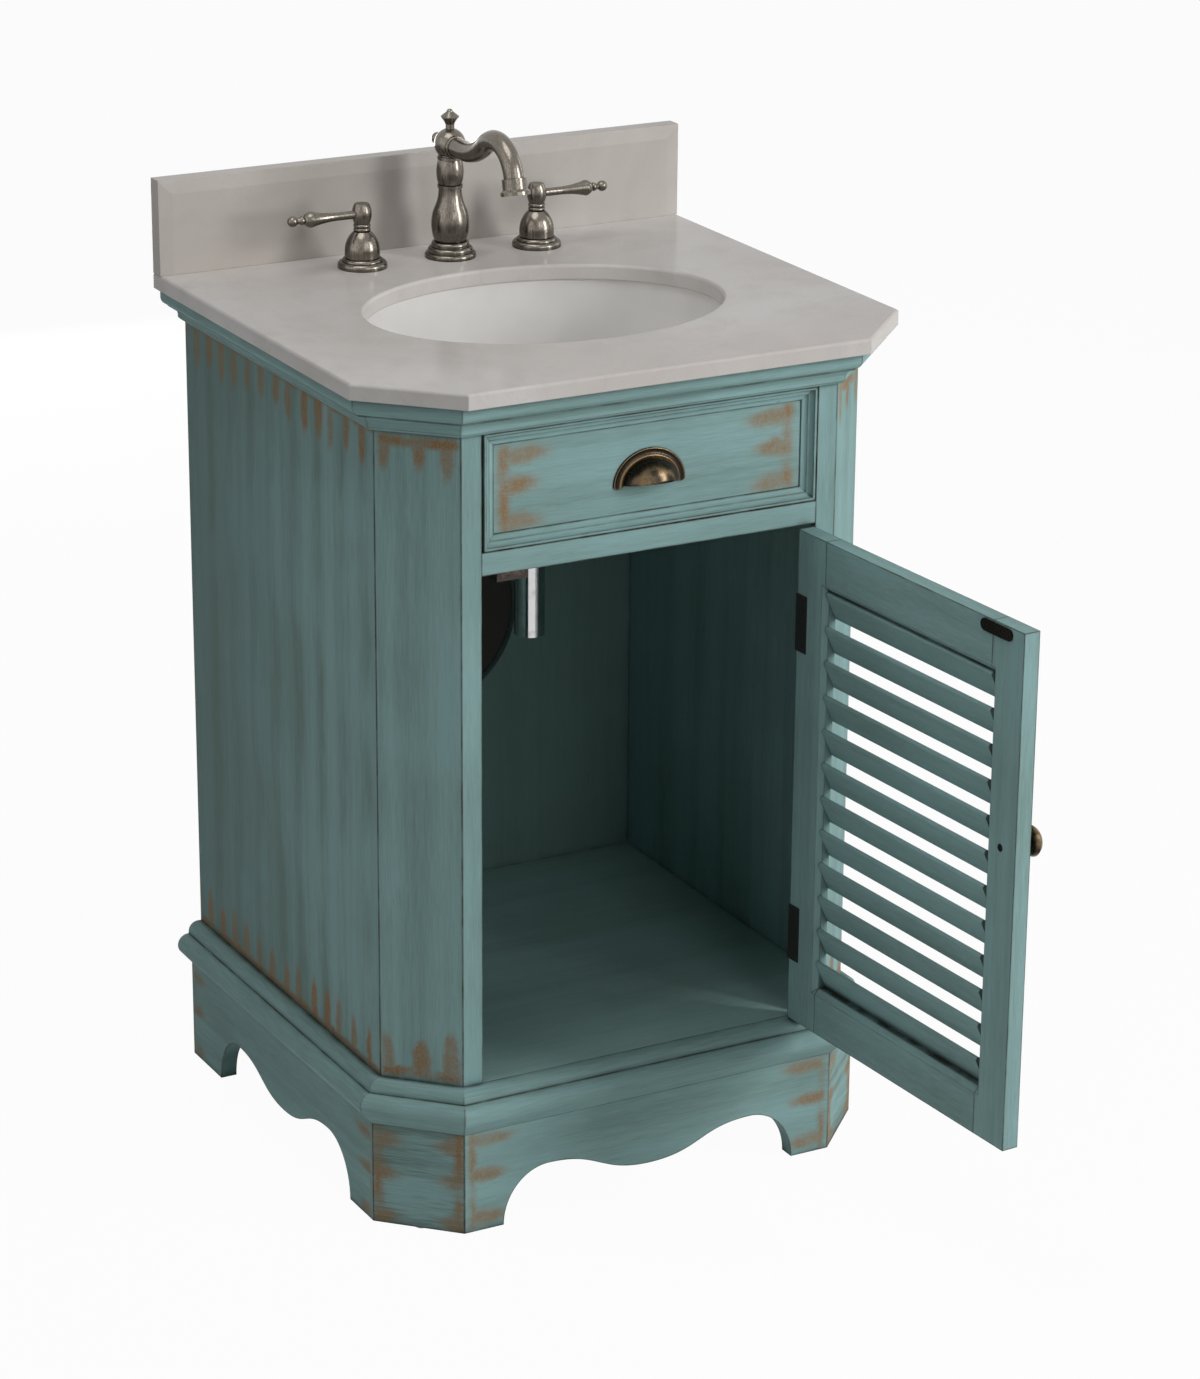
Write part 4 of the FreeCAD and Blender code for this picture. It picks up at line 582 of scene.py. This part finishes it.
def antique_bronze(name, outward, seat, bead_highlight):
    """Dark cast bronze, brass where it stands well out from its seat (wear and painted highlight) and on beads
    (painted highlight).
    """
    material, tree, shader, place = new_finish(name, Metallic=0.9, Specular_IOR_Level=0.5)
    pitting = noise(tree, place, per_metre=380.0, detail=4.0)
    patina = noise(tree, place, per_metre=95.0, detail=3.0)
    rise = wire(tree, "VectorMath", place, outward, operation="DOT_PRODUCT").outputs["Value"]
    rise = calc(tree, "SUBTRACT", rise, seat)
    # Brass where the bronze stands well out from its seat: wear, and a painted highlight.
    brass_wear_and_highlight = calc(tree, "MULTIPLY", fade(tree, rise, brass_from_rise, brass_full_rise), fade(tree, patina, 0.35, 0.65))
    # Brass on the beads is a painted highlight.
    if bead_highlight:
        bead = calc(tree, "MULTIPLY", fade(tree, rise, bead_low, bead_low + bead_rise),
                    fade(tree, rise, bead_high, bead_high - bead_fall))
        brass_wear_and_highlight = calc(tree, "MAXIMUM", brass_wear_and_highlight, bead)
    colour = clouded(tree, pitting, bronze, bronze_pit)
    colour = layered(tree, brass_wear_and_highlight, colour, worn_and_highlight_brass)
    dressed(tree, shader, colour, sheen(tree, pitting, smooth=0.2, rough=0.36))
    bumped(tree, shader, pitting, pit_height, strength=0.3)
    return material


def dome_row(lean):
    """One arch of the dome, from the flange at no lean to the lip at full lean."""
    row = []
    for arch in range(arch_steps + 1):
        turn = math.pi * arch / arch_steps
        out = pull_reach * math.sin(lean) * math.sin(turn)
        rise = pull_rise * math.cos(lean) * math.sin(turn)
        row.append(pull_centre + Vector((pull_half * math.cos(turn), -out, rise)))
    return row


def flange_row(turn, lobe=0.0):
    """The flange's section at a turn round the arch. A lobe's turn narrows and drops it past each end."""
    row = []
    for out, rise in flange_profile:
        out = flange_width / 2 + (out - flange_width / 2) * math.cos(lobe)
        row.append(pull_centre + Vector(((pull_half + out) * math.cos(turn), -rise,
                                         (pull_rise + out) * math.sin(turn) - lobe_drop * math.sin(lobe))))
    return row


mesh = bmesh.new()
dome = [dome_row(lip_lean * step / dome_steps) for step in range(dome_steps + 1)]
inner_dome = [[pull_centre + (point - pull_centre) * dome_shell for point in row] for row in reversed(dome)]
skinned(mesh, dome + inner_dome)
flange = [flange_row(0.0, lobe) for lobe in reversed(lobe_turns)]
flange += [flange_row(math.pi * arch / arch_steps) for arch in range(arch_steps + 1)]
flange += [flange_row(math.pi, lobe) for lobe in lobe_turns]
swept(mesh, flange)
pull_bronze = antique_bronze("Pull bronze", outward=(0, -1, 0), seat=-pull_high.y, bead_highlight=True)
cup = new_piece("cup_pull_cast", mesh, pull_bronze, "cabinet")
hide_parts("cup_pull")


# Zinc screws and clips
# Small turned and stamped parts in zinc plated steel: the pull's screws and the sink's clips.
# The plating is dull, with fine scratches and a grey bloom.
zinc = (0.62, 0.62, 0.6, 1)
zinc_bloom = (0.4, 0.4, 0.39, 1)
scratch_grain = (1.0, 0.1, 1.0)
scratch_height = 0.0001
material, tree, shader, place = new_finish("Zinc plate", Metallic=0.95)
bloom = noise(tree, place, per_metre=160.0, detail=3.0)
scratches = noise(tree, stretched(tree, place, scratch_grain), per_metre=1600.0)
dressed(tree, shader, clouded(tree, bloom, zinc, zinc_bloom),
        sheen(tree, scratches, smooth=0.3, rough=0.5))
bumped(tree, shader, scratches, scratch_height)
finished(material, "cup_pull_screws", "sink_clips")


# Door
# Stiles and rails joined round twelve sloping slats, painted and glazed like the carcass.
# Brown shows along the edges, and beads of paint close the joints between the end slats and the rails.
door_glaze_and_shade = 0.5
finished(painted_wood("Painted door stile", grain_up, glaze_amount=0.6, corner_glaze_and_shade=door_glaze_and_shade),
         "door_stile_hinge", "door_stile_lock")
finished(painted_wood("Painted door rail", grain_deep, glaze_amount=0.6),
         "door_rail_top", "door_rail_bottom")
slat_paint = painted_wood("Painted slat", grain_deep, glaze_amount=0.5, corner_glaze_and_shade=door_glaze_and_shade)
finished(slat_paint, "door_slats")

# The beads are laid out on the shut door, then turned with it to the open rest pose.
hinge = next(joint for joint in frame["joints"] if joint["name"] == "door_hinge")
hinge_spot = Matrix.Translation(hinge["pos_m"])
open_turn = Matrix.Rotation(math.radians(-hinge["range_deg"][0]), 4, "Z")
to_open = hinge_spot @ open_turn @ hinge_spot.inverted()
shut_slats = [to_open.inverted() @ corner.co for corner in nodes["door_slats"].data.vertices]
slat_sides = [corner.x for corner in shut_slats]
slat_faces = [corner.y for corner in shut_slats]
slat_middle = (min(slat_faces) + max(slat_faces)) / 2
bead_overrun = 0.001
bead_ends = (min(slat_sides) - bead_overrun, max(slat_sides) + bead_overrun)
bead_profile = [(0.0032, 0.00015), (0.0046, 0.0009), (0.00475, 0.00005), (0.0052, -0.0006),
                (0.0037, -0.0013), (0.0037, -0.0005)]
mesh = bmesh.new()
for rail_edge, way in ((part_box("door_rail_top")[0].z, 1), (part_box("door_rail_bottom")[1].z, -1)):
    bead = [(slat_middle + way * inward, rail_edge + way * rise) for inward, rise in bead_profile]
    swept(mesh, [[to_open @ Vector((end, y, z)) for y, z in bead] for end in bead_ends])
new_piece("slat_paint_beads", mesh, slat_paint, "door")


# Hinges
# Two butt hinges in black painted iron with their pins and screws.
# The paint is matt and slightly rough, with bare iron showing at worn spots.
hinge_black = (0.008, 0.008, 0.008, 1)
hinge_chip = (0.06, 0.05, 0.045, 1)
grit_height = 0.0002
material, tree, shader, place = new_finish("Black hinge paint", Specular_IOR_Level=0.4)
grit = noise(tree, place, per_metre=700.0, detail=3.0)
chips = noise(tree, place, per_metre=130.0, detail=4.0)
dressed(tree, shader, layered(tree, fade(tree, chips, 0.62, 0.72), hinge_black, hinge_chip),
        sheen(tree, grit, smooth=0.45, rough=0.65))
bumped(tree, shader, grit, grit_height)
finished(material, "hinge_frame_leaves", "hinge_door_leaves", "hinge_pins", "hinge_screws_frame",
         "hinge_screws_door")


# Knob, its screw, and the strike plate
# A turned bronze knob on the door's outside, a dark screw head in its pocket inside.
# The strike plate for the catch is a thin bronzed steel plate, left plain.
knob_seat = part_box("door_knob")[0].x
knob_bronze = antique_bronze("Knob bronze", outward=(1, 0, 0), seat=knob_seat, bead_highlight=False)
finished(knob_bronze, "door_knob", "knob_screw", "strike_plate")


# Catch
# A magnetic catch under the middle rail: a housing in moulded brown plastic with a fine spark-eroded texture,
# round a magnet between browned steel plates.
catch_brown = (0.05, 0.034, 0.028, 1)
catch_dark = (0.028, 0.02, 0.017, 1)
plate_brown = (0.12, 0.088, 0.078, 1)
plate_dark = (0.06, 0.045, 0.04, 1)
texture_height = 0.0002
material, tree, shader, place = new_finish("Brown catch plastic", Specular_IOR_Level=0.4)
texture = noise(tree, place, per_metre=900.0)
dressed(tree, shader, clouded(tree, texture, catch_brown, catch_dark),
        sheen(tree, texture, smooth=0.45, rough=0.6))
bumped(tree, shader, texture, texture_height)
finished(material, "catch_housing")
material, tree, shader, place = new_finish("Browned magnet plates", Metallic=0.9)
stain = noise(tree, place, per_metre=240.0, detail=3.0)
dressed(tree, shader, clouded(tree, stain, plate_brown, plate_dark),
        sheen(tree, stain, smooth=0.4, rough=0.55))
finished(material, "catch_magnet")


# Marble top and backsplash
# Sawn slabs of pale grey marble, polished on the faces and eased edges, glued down with clear sealant.
# Soft warm and grey clouds run through the stone with a few faint veins.
mottle_grey = (0.5, 0.47, 0.44, 1)
vein_grey = (0.42, 0.39, 0.36, 1)
crystal_white = (0.72, 0.71, 0.7, 1)
eased_edge = 0.0015
polish_ripple = 0.0001


def polished_marble(name, pale, warm):
    """Grey marble with soft clouds and faint veins."""
    material, tree, shader, place = new_finish(name, Specular_IOR_Level=0.05)
    drift = swirled(tree, place, per_metre=3.2, detail=5.0, harshness=0.55, swirl=0.8)
    mottle = noise(tree, place, per_metre=24.0, detail=4.0)
    crystals = noise(tree, place, per_metre=900.0)
    veins = swirled(tree, place, per_metre=6.0, detail=6.0, harshness=0.6, swirl=1.6)
    off_vein = calc(tree, "ABSOLUTE", calc(tree, "SUBTRACT", veins, 0.5))
    colour = layered(tree, fade(tree, drift, 0.3, 0.7), warm, pale)
    colour = layered(tree, fade(tree, mottle, 0.45, 0.75, 0.0, 0.35), colour, mottle_grey)
    colour = layered(tree, fade(tree, off_vein, 0.012, 0.0, 0.0, 0.12), colour, vein_grey)
    colour = layered(tree, fade(tree, crystals, 0.55, 0.8, 0.0, 0.18), colour, crystal_white)
    dressed(tree, shader, colour, fade(tree, mottle, 0.3, 0.7, 0.15, 0.22))
    eased = wire(tree, "Bevel", eased_edge, samples=6).outputs["Normal"]
    bumped(tree, shader, mottle, polish_ripple, strength=0.15, normal=eased)
    return material


top_marble = polished_marble("Marble top", pale=(0.66, 0.64, 0.62, 1), warm=(0.56, 0.525, 0.495, 1))
# The backsplash has a darker copy of the marble: painted shade.
shaded_copy_marble = polished_marble("Marble backsplash", pale=(0.56, 0.53, 0.5, 1), warm=(0.47, 0.435, 0.4, 1))
finished(top_marble, "countertop")
finished(shaded_copy_marble, "backsplash")


# Bowl
# A vitreous china bowl, glazed white and held under the oval of the stone by four clips.
# The thick glaze is very smooth, with the faintest ripple.
china_white = (0.8, 0.785, 0.765, 1)
china_thin = (0.75, 0.735, 0.715, 1)
ripple_height = 0.0006
material, tree, shader, place = new_finish("White china glaze", Coat_Weight=0.4, Coat_Roughness=0.03)
ripple = noise(tree, place, per_metre=14.0)
dressed(tree, shader, clouded(tree, ripple, china_white, china_thin),
        fade(tree, ripple, 0.3, 0.7, 0.07, 0.12))
bumped(tree, shader, ripple, ripple_height, strength=0.2)
finished(material, "sink_bowl")


# Drain, tailpiece and pop-up
# A chromed brass drain with its tube, pivot rod and stopper, a rubber gasket and plain brass nuts.
# The chrome mirrors the cupboard, with light water marks.
chrome = (0.62, 0.62, 0.62, 1)
chrome_marked = (0.48, 0.48, 0.47, 1)
brass = (0.62, 0.45, 0.2, 1)
brass_dull = (0.4, 0.27, 0.11, 1)
tarnish_height = 0.0001
rubber_black = (0.015, 0.015, 0.015, 1)
rubber_bloom = (0.05, 0.05, 0.05, 1)
material, tree, shader, place = new_finish("Drain chrome", Metallic=1.0)
marks = noise(tree, place, per_metre=70.0, detail=4.0)
dressed(tree, shader, layered(tree, fade(tree, marks, 0.5, 0.75), chrome, chrome_marked),
        fade(tree, marks, 0.3, 0.8, 0.08, 0.2))
finished(material, "drain_flange", "tailpiece", "stopper", "pivot_rod")
material, tree, shader, place = new_finish("Plain brass", Metallic=1.0)
tarnish = noise(tree, place, per_metre=85.0, detail=4.0)
dressed(tree, shader, clouded(tree, tarnish, brass, brass_dull),
        sheen(tree, tarnish, smooth=0.25, rough=0.45))
bumped(tree, shader, tarnish, tarnish_height)
finished(material, "faucet_shanks", "faucet_locknuts", "drain_locknut", "tailpiece_nut")
material, tree, shader, place = new_finish("Black rubber", Specular_IOR_Level=0.3)
bloom = noise(tree, place, per_metre=220.0, detail=3.0)
dressed(tree, shader, layered(tree, fade(tree, bloom, 0.4, 0.75), rubber_black, rubber_bloom),
        sheen(tree, bloom, smooth=0.6, rough=0.8))
finished(material, "drain_gasket")


# Faucet
# A widespread faucet in brushed nickel: a turned spout with a swan neck, and a lever on a bell on each side.
# It is screwed through the stone from below; fine brush lines run up the turned parts.
nickel = (0.205, 0.185, 0.157, 1)
nickel_line = (0.118, 0.105, 0.088, 1)
nickel_smudge = (0.08, 0.072, 0.06, 1)
nickel_groove_shade = (0.022, 0.02, 0.017, 1)
brush_grain = (1.0, 1.0, 0.015)
brush_height = 0.00002
groove_reach = 0.005
groove_round = 0.0004
material, tree, shader, place = new_finish("Brushed nickel", Metallic=1.0)
brush_lines = noise(tree, stretched(tree, place, brush_grain), per_metre=1300.0)
smudges = noise(tree, place, per_metre=45.0, detail=3.0)
# Painted shade darkens the grooves between the turned parts.
groove_shade = laid(tree, worn_edges_and_corner_shade, Place=place, Reach=groove_reach, Round=groove_round, Grime=1.0)["CreviceShade"]
colour = layered(tree, fade(tree, brush_lines, 0.3, 0.7), nickel, nickel_line)
colour = layered(tree, fade(tree, smudges, 0.5, 0.8, 0.0, 0.12), colour, nickel_smudge)
colour = layered(tree, groove_shade, colour, nickel_groove_shade)
dressed(tree, shader, colour, sheen(tree, brush_lines, smooth=0.2, rough=0.27))
bumped(tree, shader, brush_lines, brush_height, strength=0.1)
finished(material, "spout", "spout_base", "aerator", "handle_bases", "lever_left", "lever_right", "lift_rod")


# Floor, background and the shaded wall behind the cut-out
# A plain pale floor with a trace of the object's shadow, under a white background that gloss shows too.
# A disc of wall closes the pipe cut-out from the front and is clear from behind; its dark grey is painted shade.
room_strength = 0.045
floor_white = 0.96
floor_grey = (0.85, 0.85, 0.85, 1)
floor_half = 14
shaded_wall_grey = (0.1, 0.09, 0.083, 1)
wall_gap = 0.0005
wall_margin = 0.003
wall_steps = 64
white = (1.0, 1.0, 1.0, 1)


def bare_tree(owner):
    """The emptied node tree of a material or a world."""
    owner.use_nodes = True
    owner.node_tree.nodes.clear()
    return owner.node_tree


def seen_directly(tree):
    """One for rays that show the background itself: from the camera, off gloss or through glass."""
    path = tree.nodes.new("ShaderNodeLightPath").outputs
    seen = calc(tree, "MAXIMUM", path["Is Camera Ray"], path["Is Glossy Ray"])
    return calc(tree, "MAXIMUM", seen, path["Is Transmission Ray"])


def mixed(tree, share, first, second, output):
    """Sends a mix of two shaders to the tree's output."""
    both = wire(tree, "MixShader", share, first.outputs[0], second.outputs[0])
    tree.links.new(both.outputs[0], wire(tree, output).inputs["Surface"])


world = bpy.data.worlds.new("Studio")
tree = bare_tree(world)
room_light = wire(tree, "Background", white, room_strength)
white_ground = wire(tree, "Background", white, 1.0)
mixed(tree, seen_directly(tree), room_light, white_ground, "OutputWorld")
bpy.context.scene.world = world

material = bpy.data.materials.new("Pale floor")
tree = bare_tree(material)
lit_floor = wire(tree, "BsdfDiffuse", floor_grey)
white_floor = wire(tree, "Emission", white, 1.0)
white_share = calc(tree, "MULTIPLY", seen_directly(tree), floor_white)
mixed(tree, white_share, lit_floor, white_floor, "OutputMaterial")
mesh = bmesh.new()
bmesh.ops.create_grid(mesh, x_segments=2, y_segments=2, size=floor_half)
pale_floor = built("pale_floor", mesh, material)

# The disc's dark grey is painted shade, standing for the unlit space behind the cut-out.
material = bpy.data.materials.new("Shaded wall behind")
tree = bare_tree(material)
shaded_wall_paint = wire(tree, "BsdfDiffuse", shaded_wall_grey)
see_through = wire(tree, "BsdfTransparent")
from_behind = tree.nodes.new("ShaderNodeNewGeometry").outputs["Backfacing"]
mixed(tree, from_behind, shaded_wall_paint, see_through, "OutputMaterial")
cut_out = next(mount for mount in frame["record"]["mounts"] if mount["name"] == "plumbing_cutout")
wall_radius = cut_out["dims"]["r_mm"] / 1000 + wall_margin
wall_middle = Vector((cut_out["pos_m"][0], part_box("back_panel")[1].y + wall_gap, cut_out["pos_m"][2]))
mesh = bmesh.new()
wall_edge = []
for step in range(wall_steps):
    turn = math.tau * step / wall_steps
    wall_edge.append(mesh.verts.new(wall_middle + wall_radius * Vector((math.cos(turn), 0, math.sin(turn)))))
mesh.faces.new(wall_edge)
shaded_wall_behind = built("shaded_wall_behind", mesh, material)


# Lamps
# Soft boxes round the object: a large one from the front right as the main light, weak fills from the top,
# left and front, a slim rim light from the right, and a low one behind for the back panel.
def soft_light(name, spot, aim, width, height, power):
    """A soft box of light that faces the object."""
    lamp = bpy.data.lights.new(name, "AREA")
    lamp.shape = "RECTANGLE"
    lamp.size = width
    lamp.size_y = height
    lamp.energy = power
    light = bpy.data.objects.new(name, lamp)
    light.location = spot
    light.rotation_euler = (Vector(aim) - Vector(spot)).to_track_quat("-Z", "Y").to_euler()
    bpy.context.scene.collection.objects.link(light)


carcass_middle = (0, -0.4, 0.65)
soft_light("right_light", spot=(3.2, -4.2, 2.3), aim=carcass_middle, width=1.3, height=3.0, power=158)
soft_light("top_light", spot=(-0.5, -0.45, 2.7), aim=(0, -0.3, 0.9), width=1.2, height=1.2, power=14)
soft_light("left_light", spot=(-2.6, -0.4, 1.8), aim=carcass_middle, width=3.0, height=2.0, power=11)
soft_light("front_light", spot=(0.2, -2.6, 1.9), aim=(0, -0.4, 0.55), width=1.3, height=1.3, power=10)
soft_light("rim_light", spot=(2.4, -0.1, 1.55), aim=(0, -0.2, 0.95), width=0.3, height=1.1, power=4)
soft_light("back_light", spot=(0.4, 3.0, 0.5), aim=(0, 0, 0.45), width=2.0, height=0.8, power=20)


# Camera
# The photograph's viewing angle, from the front left and above, with a long lens and no shift.
# The turn and tilt are in radians, and the focal length is in the photograph's pixels.
camera_spot = Vector((-1.9409, -3.9756, 1.9843))
yaw = 0.4986
pitch = 0.3475
roll = 0.0079
focal_pixels = 4254.8
photo_width = 1200
sensor_width = 36
ahead = Vector((math.sin(yaw) * math.cos(pitch), math.cos(yaw) * math.cos(pitch), -math.sin(pitch)))
level = Vector((math.cos(yaw), -math.sin(yaw), 0))
above = level.cross(ahead)
image_right = level * math.cos(roll) + above * math.sin(roll)
image_up = above * math.cos(roll) - level * math.sin(roll)
camera_turn = Matrix((image_right, image_up, -ahead)).transposed().to_4x4()
lens = bpy.data.cameras.new("photo_camera")
lens.sensor_fit = "HORIZONTAL"
lens.sensor_width = sensor_width
lens.lens = focal_pixels * sensor_width / photo_width
camera = bpy.data.objects.new("photo_camera", lens)
camera.matrix_world = Matrix.Translation(camera_spot) @ camera_turn
bpy.context.scene.collection.objects.link(camera)
bpy.context.scene.camera = camera
bpy.context.scene.view_settings.view_transform = "Standard"
